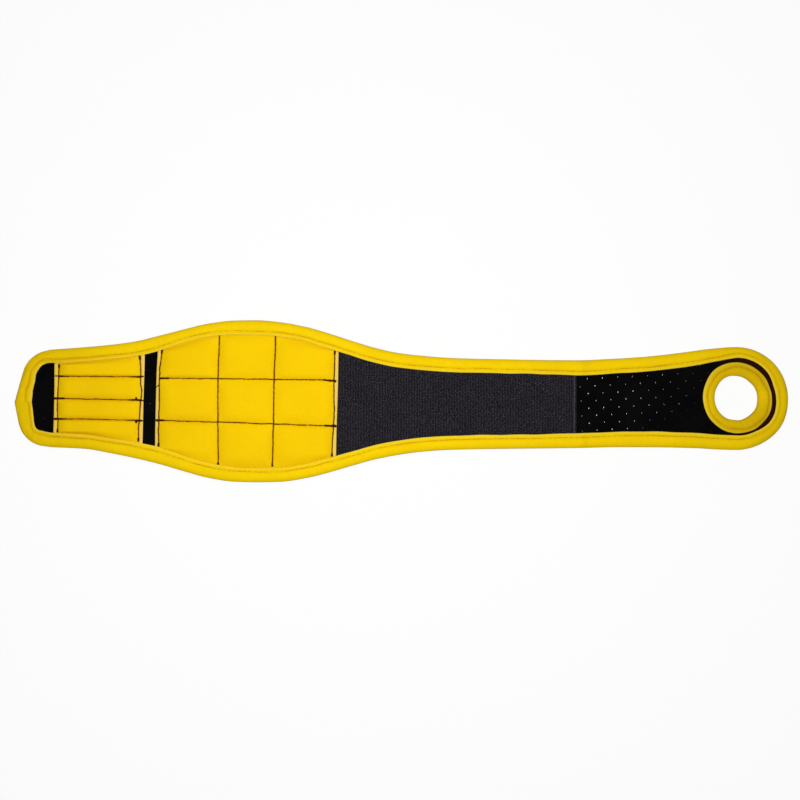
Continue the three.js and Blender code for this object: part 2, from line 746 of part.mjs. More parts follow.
// Seam across the end of the loop strip
function buildStripSeam() {
  const place = stripEnd - stripSeamInset;
  const half = threadWidth / 2;
  const low = strapLift - stripSeamSpan / 2;
  const bottom = stripTop + seamGap;
  const shape = boxShape(place - half, place + half, low, low + stripSeamSpan);
  addPiece('loop_strip_end_thread', plate(shape, bottom, bottom + threadHeight), colours.paleThread, 0.8);
}

// Patch of hooks on the back of the hook end
function buildHookPatch() {
  const place = (flapWidth + folds[0]) / 2;
  const reachX = place - flapWidth - patchEndMargin - patchCornerRadius;
  const reachY = hookEndWidth / 2 - flapWidth - patchSideMargin - patchCornerRadius;
  const shape = new THREE.Shape();
  const quarter = Math.PI / 2;
  [[1, -1], [1, 1], [-1, 1], [-1, -1]].forEach(([sideX, sideY], i) => {
    const x = place + sideX * reachX;
    const y = hookEndLift + sideY * reachY;
    shape.absarc(x, y, patchCornerRadius, (i - 1) * quarter, i * quarter, false);
  });
  addPiece('hook_patch', plate(shape, 0, tapeThickness), colours.patch, 0.95);
}

buildBase();
buildEdgeTape();
buildThumbRing();
buildLoopStrip();
buildChannelPanel();
buildPocketPanel();
buildStripSeam();
buildHookPatch();

export default band;
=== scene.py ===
import json
import math

import bmesh
import bpy
import numpy as np
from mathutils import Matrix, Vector


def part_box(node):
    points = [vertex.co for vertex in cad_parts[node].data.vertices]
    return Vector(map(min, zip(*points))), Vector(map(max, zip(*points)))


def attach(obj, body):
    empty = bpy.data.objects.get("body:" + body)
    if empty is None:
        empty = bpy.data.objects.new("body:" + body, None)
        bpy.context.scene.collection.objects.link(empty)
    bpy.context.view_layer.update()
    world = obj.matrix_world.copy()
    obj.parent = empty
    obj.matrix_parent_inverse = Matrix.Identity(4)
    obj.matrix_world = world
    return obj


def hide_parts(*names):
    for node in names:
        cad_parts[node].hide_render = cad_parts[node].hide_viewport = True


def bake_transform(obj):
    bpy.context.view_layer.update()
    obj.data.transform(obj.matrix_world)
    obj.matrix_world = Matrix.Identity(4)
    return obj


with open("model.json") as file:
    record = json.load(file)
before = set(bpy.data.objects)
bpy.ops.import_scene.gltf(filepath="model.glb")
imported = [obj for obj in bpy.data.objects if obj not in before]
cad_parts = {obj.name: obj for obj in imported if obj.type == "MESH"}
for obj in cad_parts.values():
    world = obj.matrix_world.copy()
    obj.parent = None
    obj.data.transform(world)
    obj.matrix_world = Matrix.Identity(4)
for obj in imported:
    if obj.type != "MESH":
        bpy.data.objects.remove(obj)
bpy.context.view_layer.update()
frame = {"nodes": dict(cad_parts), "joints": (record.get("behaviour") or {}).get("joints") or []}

# Looks of the magnetic wristband. Lengths are in millimetres until they become a mesh, in metres. A place is
# a distance along the band from the tip of the hook end, a height is the row frame's Y and a level its Z.

MM = 0.001

# Outline of the band, a little closer to the photograph than the solids'. Sides are 1 for the upper edge and
# -1 for the lower one. A corner has its setback from the tip, its radius and its share of the end's width.
# Shares say how much of a flare's rise its edge has gained at how much of its length.
BAND_LENGTH = 400
MIDDLE = BAND_LENGTH / 2
POCKET_WIDTH = 83.8
HOOK_END_WIDTH = 52.55
STRAP_WIDTH = 45.4
THUMB_END_WIDTH = 53.25
HOOK_END_LIFT = 1.695
STRAP_LIFT = -1.5
THUMB_END_LIFT = 1.425
SHOULDER = 18.6
SHOULDER_DROPS = {1: 1.3, -1: 0.85}
HOOK_FLARE = 36.2
WIDEST = 124.92
STRAP_FLARE = 245.97
STRAP_TAPERS = {1: 0.6, -1: 0.5}
TIP_DROP = 2.1
CORNERS = {1: (6.9, 15.5, 0.85), -1: (4.1, 15, 0.89)}
HOOK_FLARE_SHARES = {
    1: [(0.14, 0.08), (0.29, 0.21), (0.43, 0.42), (0.58, 0.665), (0.72, 0.875), (0.87, 0.987)],
    -1: [(0.14, 0.12), (0.29, 0.277), (0.43, 0.45), (0.58, 0.675), (0.72, 0.868), (0.87, 0.982)],
}
STRAP_FLARE_SHARES = {
    1: [
        (0.1, 0.05), (0.21, 0.17), (0.31, 0.34), (0.41, 0.535), (0.51, 0.715), (0.61, 0.845), (0.71, 0.915),
        (0.83, 0.97),
    ],
    -1: [
        (0.1, 0.014), (0.21, 0.122), (0.31, 0.295), (0.41, 0.5), (0.51, 0.692), (0.61, 0.828), (0.71, 0.92),
        (0.83, 0.976),
    ],
}
THUMB_FLARE_SHARES = {
    1: [(0.24, 0.12), (0.39, 0.23), (0.54, 0.4), (0.69, 0.63), (0.85, 0.88)],
    -1: [(0.25, -0.4), (0.5, -0.35), (0.75, 0.1), (0.88, 0.75)],
}
THUMB_CENTRE = BAND_LENGTH - THUMB_END_WIDTH / 2
THUMB_BULGE, BULGE_ANGLE, BULGE_SPREAD = 0.6, -0.55, 0.38
STRIP_START = 168
STRIP_END = 290.4

# Levels above the surface that the band lies on
FOAM_BOTTOM = 1.0
FOAM_TOP = 3.6
BARE_REST = FOAM_TOP + 0.05
CLOTH_THICKNESS = 0.45
TUCKED_LEVEL = 4.12
STRIP_LEVEL = 4.45
TAPE_THICKNESS = 0.7
RAISED_TAPE_TOP = 5.7
LOW_TAPE_TOP = 4.7
RING_SEAM_LEVEL = 4.38
BACK_SEAM_LEVEL = 0.27
BACKING_LEVEL = 0.98
BACKING_THICKNESS = 0.4
PATCH_SEAM_LEVEL = 0.56

# Tape folded over the edge, and its thread
FLAP_WIDTH = 7.3
FOLD_REACH, FOLD_DROP = 3.2, 1.3
LIP_REACH, LIP_DROP = 0.45, 0.5
FRONT_PUFF, FRONT_GROOVE = 0.12, 0.34
BACK_PUFF, BACK_GROOVE = -0.05, 0.32
STITCH_PITCH = 2.8
THREAD_RADIUS = 0.2
THREAD_FLATNESS = 0.8
RUN_STEP, STITCH_STEP, FOAM_STEP = 0.9, 0.35, 2

# Bodies along the band, and how far to each side of each fold the foam is cut across
BODIES = [
    "hook_end", "column_1", "column_2", "column_3", "strap_1",
    "strap_2", "strap_3", "sheet_1", "sheet_2", "thumb_end",
]
BENDS = [6, 5, 5, 6, 8, 8, 8, 8, 7]
CUTS = [88, 120, 152, 189, 230, 270, 305, 332]
FOLDS = sorted(joint["pos_m"][0] / MM + MIDDLE for joint in frame["joints"])


def smooth(t):
    """Smooth step from 0 to 1."""
    t = np.clip(t, 0, 1)
    return t * t * (3 - 2 * t)


def ramp(x, start, length):
    """Smooth step over a length from its start, which goes backwards where the length is negative."""
    return smooth((x - start) / length)


def bump(x, width):
    return np.exp(-((x / width) ** 2))


def unit(vectors):
    return vectors / np.linalg.norm(vectors, axis=-1, keepdims=True)


def turned_left(vectors):
    return np.stack([-vectors[..., 1], vectors[..., 0]], -1)


def spokes_at(angles):
    return np.stack([np.cos(angles), np.sin(angles)], -1)


def angles_round(count):
    return np.linspace(0, 2 * math.pi, count + 1)[:-1]


def travelled(points):
    """Distance along a line to each of its points."""
    return np.concatenate([[0], np.cumsum(np.linalg.norm(np.diff(points, axis=0), axis=1))])


def points_along(s, lengths, points):
    """Points at distances along a line whose own points lie at the given lengths."""
    return np.stack([np.interp(s, lengths, points[:, axis]) for axis in (0, 1)], -1)


def looked_up(x, rows):
    """Value at x, between rows of x and value."""
    return np.interp(x, *np.array(rows).T)


def smooth_edge(stations):
    """Smooth curve through stations of place and height, flat at its far end, as in the part's source."""
    places, heights = np.array(stations, float).T
    steep = np.diff(heights) / np.diff(places)
    slopes = np.zeros(len(places))
    slopes[0] = steep[0]
    before, after = steep[:-1], steep[1:]
    same = before * after > 0
    slopes[1:-1][same] = (2 * before * after)[same] / (before + after)[same]

    def height(place):
        i = np.clip(np.searchsorted(places, place, side="right") - 1, 0, len(places) - 2)
        span = places[i + 1] - places[i]
        t = np.clip((place - places[i]) / span, 0, 1)
        s, bend = smooth(t), t * (1 - t) * span
        return heights[i] * (1 - s) + heights[i + 1] * s + bend * ((1 - t) * slopes[i] - t * slopes[i + 1])

    return height


def band_edge(side):
    hook = HOOK_END_LIFT + side * HOOK_END_WIDTH / 2
    pocket = side * POCKET_WIDTH / 2
    strap = STRAP_LIFT + side * STRAP_WIDTH / 2
    flare = strap + side * STRAP_TAPERS[side]
    thumb = THUMB_END_LIFT + side * THUMB_END_WIDTH / 2

    def between(shares, start, end, low, high):
        return [(start + along * (end - start), low + gained * (high - low)) for along, gained in shares[side]]

    return smooth_edge(
        [(SHOULDER, hook - side * SHOULDER_DROPS[side]), (HOOK_FLARE, hook)]
        + between(HOOK_FLARE_SHARES, HOOK_FLARE, WIDEST, hook, pocket)
        + [(WIDEST, pocket)]
        + between(STRAP_FLARE_SHARES, WIDEST, STRAP_FLARE, pocket, flare)
        + [(STRAP_FLARE, flare), (STRIP_END, strap)]
        + between(THUMB_FLARE_SHARES, STRIP_END, THUMB_CENTRE, strap, thumb)
        + [(THUMB_CENTRE, thumb)]
    )


def round_corner(start, vertex, end, radius):
    start, vertex, end = (np.array(p, float) for p in (start, vertex, end))
    inward, outward = unit(start - vertex), unit(end - vertex)
    half = math.acos(np.clip(inward @ outward, -1, 1)) / 2
    centre = vertex + unit(inward + outward) * radius / math.sin(half)
    first = vertex + inward * radius / math.tan(half) - centre
    last = vertex + outward * radius / math.tan(half) - centre
    turn = math.atan2(first[0] * last[1] - first[1] * last[0], first @ last)
    cosine, sine = spokes_at(turn * np.linspace(0, 1, 25)).T
    return np.stack([first[0] * cosine - first[1] * sine, first[0] * sine + first[1] * cosine], 1) + centre


def band_outline():
    """Closed outline, anticlockwise from the tip of the hook end, as points that are close together."""
    tip = (0, HOOK_END_LIFT - TIP_DROP)
    parts = {}
    run = np.linspace(SHOULDER, THUMB_CENTRE, 700)
    for side in (-1, 1):
        edge = band_edge(side)
        setback, radius, share = CORNERS[side]
        vertex = (setback, HOOK_END_LIFT + side * share * HOOK_END_WIDTH / 2)
        corner = round_corner(tip, vertex, (SHOULDER, edge(SHOULDER)), radius)
        parts[side] = np.concatenate([[tip], corner, np.stack([run, edge(run)], 1)])
    angles = np.linspace(-math.pi / 2, math.pi / 2, 200)[1:-1]
    reach = THUMB_END_WIDTH / 2 + THUMB_BULGE * bump(angles - BULGE_ANGLE, BULGE_SPREAD)
    thumb = reach[:, None] * spokes_at(angles) + (THUMB_CENTRE, THUMB_END_LIFT)
    return np.concatenate([parts[-1], thumb, parts[1][::-1]])


outline = band_outline()
travel = travelled(outline)
ROUND = travel[-1]
turning = int(np.argmax(outline[:, 0]))


def outline_at(s):
    """Points of the outline at distances round it from the tip."""
    return points_along(np.mod(s, ROUND), travel, outline)


def inward_at(s):
    """Directions into the band, from the run of the outline over a short stretch."""
    return turned_left(unit(outline_at(s + 1.2) - outline_at(s - 1.2)))


def round_to(place, side):
    """Distance round the outline at which the lower or upper run reaches a place."""
    if side < 0:
        return np.interp(place, outline[: turning + 1, 0], travel[: turning + 1])
    return np.interp(-place, -outline[turning:, 0], travel[turning:])


def inset_edge(inset, side):
    """Height of the upper or lower run of the outline moved into the band, as a function of place."""
    low, high = sorted((round_to(0.5, side), round_to(BAND_LENGTH - 1, side)))
    s = np.linspace(low, high, 1200)
    points = outline_at(s) + inset * inward_at(s)
    order = np.argsort(points[:, 0])
    places, heights = points[order].T
    return lambda place: np.interp(place, places, heights)


def grain(u, v, seed):
    """Smooth noise from -1 to 1, one lump to each unit, the same each run."""
    u, v = np.broadcast_arrays(np.asarray(u, float), np.asarray(v, float))
    i, j = np.floor(u), np.floor(v)
    a, b = smooth(u - i), smooth(v - j)

    def lump(x, y):
        value = np.sin(x * 127.1 + y * 311.7 + seed * 74.7) * 43758.5453
        return 2 * (value - np.floor(value)) - 1

    low = lump(i, j) * (1 - a) + lump(i + 1, j) * a
    high = lump(i, j + 1) * (1 - a) + lump(i + 1, j + 1) * a
    return low * (1 - b) + high * b


# Making meshes: a flat grid is added, its points are moved to their places, and it is finished in edit mode


def named(name):
    """Names the piece that has just been added."""
    piece = bpy.context.object
    piece.name = piece.data.name = name
    return piece


def flat_grid(name, columns, rows):
    """New grid, and the column and row of each of its points."""
    bpy.ops.mesh.primitive_grid_add(x_subdivisions=columns, y_subdivisions=rows, size=2)
    piece = named(name)
    column, row = np.rint((read_points(piece)[:, :2] + 1) / 2 * (columns, rows)).astype(int).T
    return piece, column, row


def read_points(piece):
    at = np.zeros(len(piece.data.vertices) * 3, np.float32)
    piece.data.vertices.foreach_get("co", at)
    return at.reshape(-1, 3).astype(float)


def place_points(piece, at, level=None):
    """Moves a mesh's points to places, heights and levels, or to a level given apart, in millimetres."""
    if level is not None:
        at = np.column_stack([at, level + np.zeros(len(at))])
    metres = (at - np.array([MIDDLE, 0, 0])) * MM
    piece.data.vertices.foreach_set("co", metres.astype(np.float32).ravel())
    piece.data.update()


def note(piece, **marks):
    """Keeps a number or a vector for each point, for the materials to read."""
    for name, values in marks.items():
        values = np.asarray(values, np.float32)
        kind, field = ("FLOAT", "value") if values.ndim == 1 else ("FLOAT_VECTOR", "vector")
        piece.data.attributes.new(name, kind, "POINT").data.foreach_set(field, values.ravel())


def choose(*pieces):
    """Selects pieces and nothing else, and makes the first of them active."""
    bpy.ops.object.select_all(action="DESELECT")
    for piece in pieces:
        piece.select_set(True)
    bpy.context.view_layer.objects.active = pieces[0]


def edit(piece, *steps):
    """Takes steps in edit mode, each with the whole piece selected."""
    choose(piece)
    bpy.ops.object.mode_set(mode="EDIT")
    bpy.ops.mesh.select_mode(type="VERT")
    for step in steps:
        bpy.ops.mesh.select_all(action="SELECT")
        step()
    bpy.ops.object.mode_set(mode="OBJECT")


def face_outwards():
    bpy.ops.mesh.normals_make_consistent(inside=False)


def extrude(rise):
    """Step that extrudes faces by a rise in millimetres."""
    return lambda: bpy.ops.mesh.extrude_region_move(TRANSFORM_OT_translate={"value": (0, 0, rise * MM)})


def merge_doubles():
    bpy.ops.mesh.remove_doubles(threshold=1e-7)


def close_ends():
    bpy.ops.mesh.select_all(action="DESELECT")
    bpy.ops.mesh.select_non_manifold(
        extend=False, use_wire=False, use_boundary=True, use_multi_face=False,
        use_non_contiguous=False, use_verts=False,
    )
    bpy.ops.mesh.fill_holes(sides=0)


def delete_some(piece, kind, unwanted):
    """Deletes the points or faces that an array of truths names."""
    bpy.ops.mesh.select_mode(type=kind)
    bpy.ops.mesh.select_all(action="DESELECT")
    mesh = bmesh.from_edit_mesh(piece.data)
    for element, picked in zip(mesh.verts if kind == "VERT" else mesh.faces, unwanted):
        element.select = bool(picked)
    bmesh.update_edit_mesh(piece.data)
    bpy.ops.mesh.delete(type=kind)


def apply_modifier(piece, kind, **settings):
    choose(piece)
    modifier = piece.modifiers.new(kind.title(), kind)
    for name, value in settings.items():
        setattr(modifier, name, value)
    bpy.ops.object.modifier_apply(modifier=modifier.name)


def repeat(piece, axis, count, step, **merging):
    """Copies a piece along an axis, a step in metres apart."""
    offset = [0, 0, 0]
    offset[axis] = step
    apply_modifier(
        piece, "ARRAY", count=count, use_relative_offset=False, use_constant_offset=True,
        constant_offset_displace=offset, **merging,
    )


def joined(pieces, name):
    choose(*pieces)
    if len(pieces) > 1:
        bpy.ops.object.join()
    return named(name)


def shaped_grid(name, points, marks, columns, rows):
    """Grid that takes its points and their marks from arrays, and wraps round past their ends."""
    piece, i, j = flat_grid(name, columns, rows)
    i, j = i % points.shape[0], j % points.shape[1]
    place_points(piece, points[i, j])
    note(piece, **{mark: values[i, j] for mark, values in marks.items()})
    return piece


def rolled_tube(name, rings, marks, closed=False):
    """Tube through rings of points, from a grid rolled up. Each point keeps its place in the weave."""
    count, sides = rings.shape[:2]
    piece = shaped_grid(name, rings, marks, count if closed else count - 1, sides)
    edit(piece, merge_doubles, *([] if closed else [close_ends]), face_outwards)
    return piece


def laid_sheet(name, points, thickness, **marks):
    """Sheet from a grid of points of its upper side, given its thickness downwards."""
    marks = {"weave": points * MM, **marks}
    piece = shaped_grid(name, points, marks, points.shape[0] - 1, points.shape[1] - 1)
    edit(piece, face_outwards)
    if piece.data.polygons[0].normal.z < 0:
        edit(piece, bpy.ops.mesh.flip_normals)
    apply_modifier(piece, "SOLIDIFY", thickness=thickness * MM, offset=-1, use_rim=True)
    return piece


# Tape folded over an edge. Insets run from the folded edge across the flap.


def flap_profile(width, seam):
    """Insets across a flap at which its section has points, close together at the seam."""
    shares = [0 * width + inset for inset in (0.06, 0.25, 0.6, 1.1, 1.8)]
    shares += [1.8 + (seam - 2.7) * t for t in (0.35, 0.7)]
    shares += [seam + step for step in (-0.9, -0.5, -0.22, 0, 0.22, 0.5)]
    shares += [(seam + width) / 2] + [width - step for step in (0.5, 0.22, 0.04)]
    return np.concatenate(shares, 1)


def front_level(inset, width, seam, top, rest, groove, puff):
    """Level of the front of a flap: rounded at the fold, full to the seam, and down to what it rests on."""
    rounding = np.clip(1 - inset / FOLD_REACH, 0, 1)
    level = top - FOLD_DROP * (1 - np.sqrt(1 - rounding**2))
    level += puff * np.sin(math.pi * np.clip((inset - 0.8) / (seam - 0.8), 0, 1))
    lip = rest + TAPE_THICKNESS
    level += (lip - top) * smooth((inset - seam) / (width - seam - 0.4))
    level -= groove * bump(inset - seam, 0.5)
    end = np.clip((inset - (width - LIP_REACH)) / LIP_REACH, 0, 1)
    return level - LIP_DROP * (1 - np.sqrt(1 - 0.98 * end**2))


def folded_tape(edge, inward, along, widths, seams, tops, rests, seed, wobble, crease=0, gathers=0):
    """Rings of points and marks of tape folded over an edge. Each argument has a value a ring, or one in all."""
    s, widths, seams, tops, rests, wobble, crease, gathers = (
        np.broadcast_to(np.reshape(values, (-1, 1)), (len(along), 1))
        for values in (along, widths, seams, tops, rests, wobble, crease, gathers)
    )
    insets = flap_profile(widths, seams)
    stitch = np.cos(2 * math.pi * s / STITCH_PITCH)
    ripple = 0.05 * grain(s / 6, insets / 3, seed) + 0.035 * grain(s / 2.1, insets / 2.2, seed + 1)
    ripple += bump(insets - seams, 1.3) * (0.05 * stitch + 0.09 * grain(s / 2.9, insets / 9, seed + 2))
    gathered = 0.26 * grain(s / 4.5, insets / 0.9, seed + 6) + 0.14 * grain(s / 1.4, insets / 1.6, seed + 7)
    ripple = wobble * (ripple + gathers * gathered - crease)
    groove = FRONT_GROOVE * (1 + 0.4 * np.minimum(wobble, 1) * grain(s / 5, 0, seed + 3))
    front = front_level(insets, widths, seams, tops, rests, groove, FRONT_PUFF) + ripple
    # The back is a front that lies on the foam's lower side, turned over
    back = 0.3 * np.clip(ripple, 0, 1)
    back = back - front_level(insets, widths, seams, 0, -FOAM_BOTTOM, BACK_GROOVE, BACK_PUFF)
    none = 0 * s
    # From inside the fold, out under the front flap, back over it, round the fold and under the back flap
    section = [
        (none + 0.8, tops - 1.5), (none + 1.6, tops - TAPE_THICKNESS - 0.1),
        (seams, rests + 0.4 * (tops - rests - TAPE_THICKNESS)), (widths - 0.1, rests + 0.02),
        (insets[:, ::-1], front[:, ::-1]), (none, tops * 0.7), (none, tops * 0.5), (none, tops * 0.3),
        (insets, back), (widths - 0.1, none + FOAM_BOTTOM - 0.02),
        (none + 1.6, none + TAPE_THICKNESS + 0.05), (none + 0.8, none + 1.4),
    ]
    across, level = (np.concatenate(parts, 1) for parts in zip(*section))
    across = across + wobble * 0.13 * grain(s / 9, 0, seed + 4) * np.clip(across / widths, 0, 1)
    rings = np.concatenate([edge[:, None] + across[..., None] * inward[:, None], level[..., None]], -1)
    steps = np.hypot(np.diff(across, axis=1), np.diff(level, axis=1))
    girth = np.concatenate([none, np.cumsum(steps, 1)], 1)
    # Of these marks, the seam one is a painted shadow in the stitch groove, the edge one a painted highlight along
    # the lip, the rim one painted shade round the fold, and the wide one about the seam a broader painted shade.
    return rings, {
        "weave": np.stack([s + 0 * girth, girth, 0 * girth], -1) * MM,
        "seam": bump(across - seams, 0.55),
        "lip": ramp(across - seams, 0.6, 0.8),
        "edge": smooth((across - widths + 0.9) / 0.5),
        "rim": np.exp(-np.abs(across) / 1.2),
        "broad_seam_shade": bump(across - seams, 1.1),
    }


def bead_run(path, levels, s, radius, seed, pitch=STITCH_PITCH, sides=8, fill=0.55, pinch=0.5, loose=1):
    """Rings of a line of stitches along a path, each stitch a bead that dips into the cloth at its ends."""
    across = turned_left(unit(np.gradient(path, axis=0)))
    dip = pinch * (1 - np.abs(np.sin(math.pi * s / pitch)) ** fill)
    sway = 0.08 * loose * grain(s / 1.7, 0, seed)
    size = radius * (1 - dip) * (1 + 0.12 * loose * grain(s / 1.1, 0, seed + 1))
    angles = angles_round(sides)
    out = size[:, None] * np.cos(angles) + sway[:, None]
    up = size[:, None] * np.sin(angles) * THREAD_FLATNESS + (levels - radius * dip)[:, None]
    rings = np.concatenate([path[:, None] + out[..., None] * across[:, None], up[..., None]], -1)
    weave = np.stack([s[:, None] + 0 * out, angles * 0.3 + 0 * out, 0 * out], -1) * MM
    return rings, {"weave": weave}


def stitched_loop(path, level, s, seed, loose=1, pitch=STITCH_PITCH):
    """Closed line of stitches. Its ends overlap by two points, so that it runs on evenly."""
    lapped = lambda values: np.concatenate([values[-2:], values, values[:2]])
    loose = lapped(loose + 0 * s)
    rings, marks = bead_run(lapped(path), level, lapped(s), THREAD_RADIUS, seed, pitch, 6, loose=loose)
    return rolled_tube("stitches", rings[2:-2], {"weave": marks["weave"][2:-2]}, closed=True)


# Widths of the tape's flap, which is cut less evenly towards the thumb end, at distances round the band
THUMB_TURN = round_to(THUMB_CENTRE, 1) - round_to(THUMB_CENTRE, -1)
LOWER_WIDTHS = [
    (44, 7.3), (54, 7.9), (62, 8.3), (70, 8.5), (78, 8.3), (88, 7.6), (104, 7.6), (122, 7.4), (150, 7.3),
    (170, 7.2), (180, 7), (189, 7.5), (200, 7.3), (230, 7.35), (241, 7.6), (252, 7.3), (270, 7.3), (281, 7.6),
    (291, 7.6), (303, 7.7), (323, 8.3), (347, 8), (364, 7.8), (THUMB_CENTRE, 7.7),
]
TURN_WIDTHS = [
    (0.06, 7.5), (0.17, 7.2), (0.28, 6.3), (0.39, 6.05), (0.5, 6.35), (0.61, 6.6), (0.72, 5.85), (0.83, 5.6),
    (0.94, 5.5),
]
UPPER_WIDTHS = [
    (THUMB_CENTRE, 5.5), (364, 6.75), (354, 7.5), (335, 7.7), (324, 7.7), (313, 7.6), (303, 7.9), (291, 8),
    (278, 7.5), (262, 7.3), (242, 7.3), (231, 7.5), (220, 7.35), (210, 7.45), (200, 7.6), (188, 7.5),
    (178, 7.5), (167, 7.4), (158, 7.3), (148, 7.1), (137, 7.4), (127, 7.7), (117, 7.4), (106, 6.9),
    (96, 6.7), (86, 6.5), (80, 7), (72, 7.7), (64, 7.7), (50, 7.3), (26, 7.5), (18, 7.3),
]
FLAP_WIDTHS = [(0, FLAP_WIDTH)] + [(round_to(place, -1), width) for place, width in LOWER_WIDTHS] + [
    (round_to(THUMB_CENTRE, -1) + share * THUMB_TURN, width) for share, width in TURN_WIDTHS
] + [(round_to(place, 1), width) for place, width in UPPER_WIDTHS]

# Width of the flap round the hook end, and how far the seam lies from its lip, at distances from the tip
HOOK_WIDTHS = [
    (-42, 7.4), (-37, 7.2), (-33, 6.5), (-27.5, 6.3), (-22, 6.75), (-17, 6.75), (-13, 7.3), (-8, 7.4), (-4.3, 8.2),
    (0, 8.8), (3, 8.7), (9, 8.1), (13.5, 7.75), (20, 6.95), (23, 7.2), (27, 7.75), (31, 7.65), (36, 7.6), (42, 7.4),
]
SEAM_FROM_LIP = 2.1
HOOK_SEAM_FROM_LIP = [
    (-36, 1.9), (-26, 2.2), (-17.5, 2.6), (-10.7, 2.6), (-7.5, 3.2), (-4.2, 3.35), (-1.3, 2.7), (1, 1.6), (3.5, 1.3),
    (11.3, 1.25), (16, 1.5), (22, 1.8), (27, 1.9), (36, 2),
]


def tape_sizes(s):
    """Flap width, seam inset, top level and resting level of the edge tape at distances round the band."""
    place = outline_at(s)[:, 0]
    from_tip = np.mod(s + ROUND / 2, ROUND) - ROUND / 2
    widths = looked_up(np.mod(s, ROUND), FLAP_WIDTHS)
    widths = np.where(np.abs(from_tip) < HOOK_WIDTHS[-1][0], looked_up(from_tip, HOOK_WIDTHS), widths)
    from_lip = SEAM_FROM_LIP - 0.15 * ramp(place, 168, -8) + 0.4 * (from_tip > 0) * bump(place - 70, 12)
    near_tip = np.abs(from_tip) < HOOK_SEAM_FROM_LIP[-1][0]
    from_lip = np.where(near_tip, looked_up(from_tip, HOOK_SEAM_FROM_LIP), from_lip)
    seams = widths - from_lip + 0.12 * smooth(np.abs(from_tip) / 5) * grain(np.mod(s, ROUND) / 6, 0, 3)
    lowered = ramp(place, STRIP_END + 1.5, 6)
    tops = RAISED_TAPE_TOP + (LOW_TAPE_TOP - RAISED_TAPE_TOP) * lowered
    rests = TUCKED_LEVEL + (STRIP_LEVEL + 0.12 - TUCKED_LEVEL) * ramp(place, 166, 4)
    return widths, seams, tops, rests + (BARE_REST - rests) * lowered


def runs_of(index, pitch=1):
    """Distances round the outline, a pitch apart, on the stretches of a length of the band between two cuts."""
    if index == 0:
        ends = [(round_to(CUTS[0], 1) - ROUND, round_to(CUTS[0], -1))]
    elif index == len(CUTS):
        ends = [(round_to(CUTS[-1], -1), round_to(CUTS[-1], 1))]
    else:
        low, high = CUTS[index - 1], CUTS[index]
        ends = [(round_to(low, -1), round_to(high, -1)), (round_to(high, 1), round_to(low, 1))]
    return [np.linspace(start, end, int((end - start) / pitch) + 2) for start, end in ends]


def edge_tape(index):
    parts = []
    for s in runs_of(index, RUN_STEP):
        place = outline_at(s)[:, :1]
        hooked, turned = ramp(place, 60, -40), ramp(place, 376, 12)
        # The tape lies still where its ends meet, at the tip
        rings, marks = folded_tape(
            outline_at(s), inward_at(s), np.mod(s, ROUND), *tape_sizes(s), 11,
            wobble=smooth(np.abs(s) / 3), gathers=ramp(place, 30, -14) + 0.35 * turned,
        )
        # Painted shade, darker towards the hook end and round the thumb end and in a wide band about the seam. The
        # seam's painted shadow is deeper towards the hook end and fainter round the thumb end, and the painted
        # highlight on the lip is stronger at both ends.
        marks["painted_shade"] = 0.28 * hooked + 0.1 * turned + (0.12 + 0.33 * turned) * marks.pop("broad_seam_shade")
        marks["seam"] *= 0.75 + 0.9 * ramp(place, 80, -30) - 0.6 * turned
        marks["edge"] *= 0.5 + 0.5 * np.maximum(hooked, turned)
        parts.append(rolled_tube("run", rings, marks))
    return joined(parts, f"edge_tape_{index + 1}")


def tape_seam(index):
    """Stitches in the groove of the edge tape, on its front and back."""
    parts = []
    for s in runs_of(index, STITCH_STEP):
        _, seams, tops, _ = tape_sizes(s)
        path = outline_at(s) + seams[:, None] * inward_at(s)
        sunk = 0.36 + 0.16 * ramp(outline_at(s)[:, 0], 376, 12)
        for levels in (tops - sunk, BACK_SEAM_LEVEL):
            beads = bead_run(path, levels, np.mod(s, ROUND), THREAD_RADIUS, 21, sides=6, pinch=0.25)
            parts.append(rolled_tube("stitches", *beads))
    return joined(parts, f"tape_seam_{index + 1}")


# Ring of tape round the thumb hole. It isn't quite round, as in the photograph. A bump on it has the angle of
# its middle and its half width, in degrees, and its height.
RING_OUTER = 17.8
RING_MIDDLE = 15
HOLE_RADIUS = 11.45
FOAM_HOLE_RADIUS = 13
RING_CENTRE = np.array([373.7, 1.6])
HOLE_BUMPS = [(120, 23, 0.5), (50, 18, -0.35), (263, 12, -0.35), (333, 20, 0.45)]
RING_BUMPS = [
    (112, 32, 0.4), (124, 18, 0.45), (336, 18, 0.6), (232, 14, -0.3), (300, 12, 0.25), (20, 9, -0.3),
    (136, 12, 0.25), (272, 14, 0.18),
]
# Painted shade on the ring rises and falls by angle with these bumps
RING_SHADE_BUMPS = [(190, 45, -0.38), (5, 20, -0.42), (318, 25, 0.1)]
RING_SEAM_RADII = [
    (-180, 15.3), (-140, 15.6), (-90, 16.2), (-42, 17.0), (-15, 16.7), (0, 16.4), (29, 15.6), (60, 16.0),
    (90, 16.3), (130, 15.7), (180, 15.3),
]


def bumps(angles, rows):
    away = lambda middle: np.abs(np.mod(np.degrees(angles) - middle + 180, 360) - 180)
    return sum(height * bump(away(middle), width) for middle, width, height in rows)


def from_ring_ends(angles):
    """Rises from 0 where the ends of the ring's tape meet."""
    return smooth(np.minimum(angles, 2 * math.pi - angles) / 0.15)


def ring_sizes(angles):
    """Radius of the hole and inset of the seam."""
    inner = HOLE_RADIUS - 0.33 * np.cos(angles) - 0.12 * np.cos(2 * angles) + 0.08 * np.sin(3 * angles)
    inner = inner + bumps(angles, HOLE_BUMPS)
    radii = looked_up(np.degrees(angles - 2 * math.pi * (angles > math.pi)), RING_SEAM_RADII)
    return inner, radii - inner + 0.15 * np.sin(9 * angles)


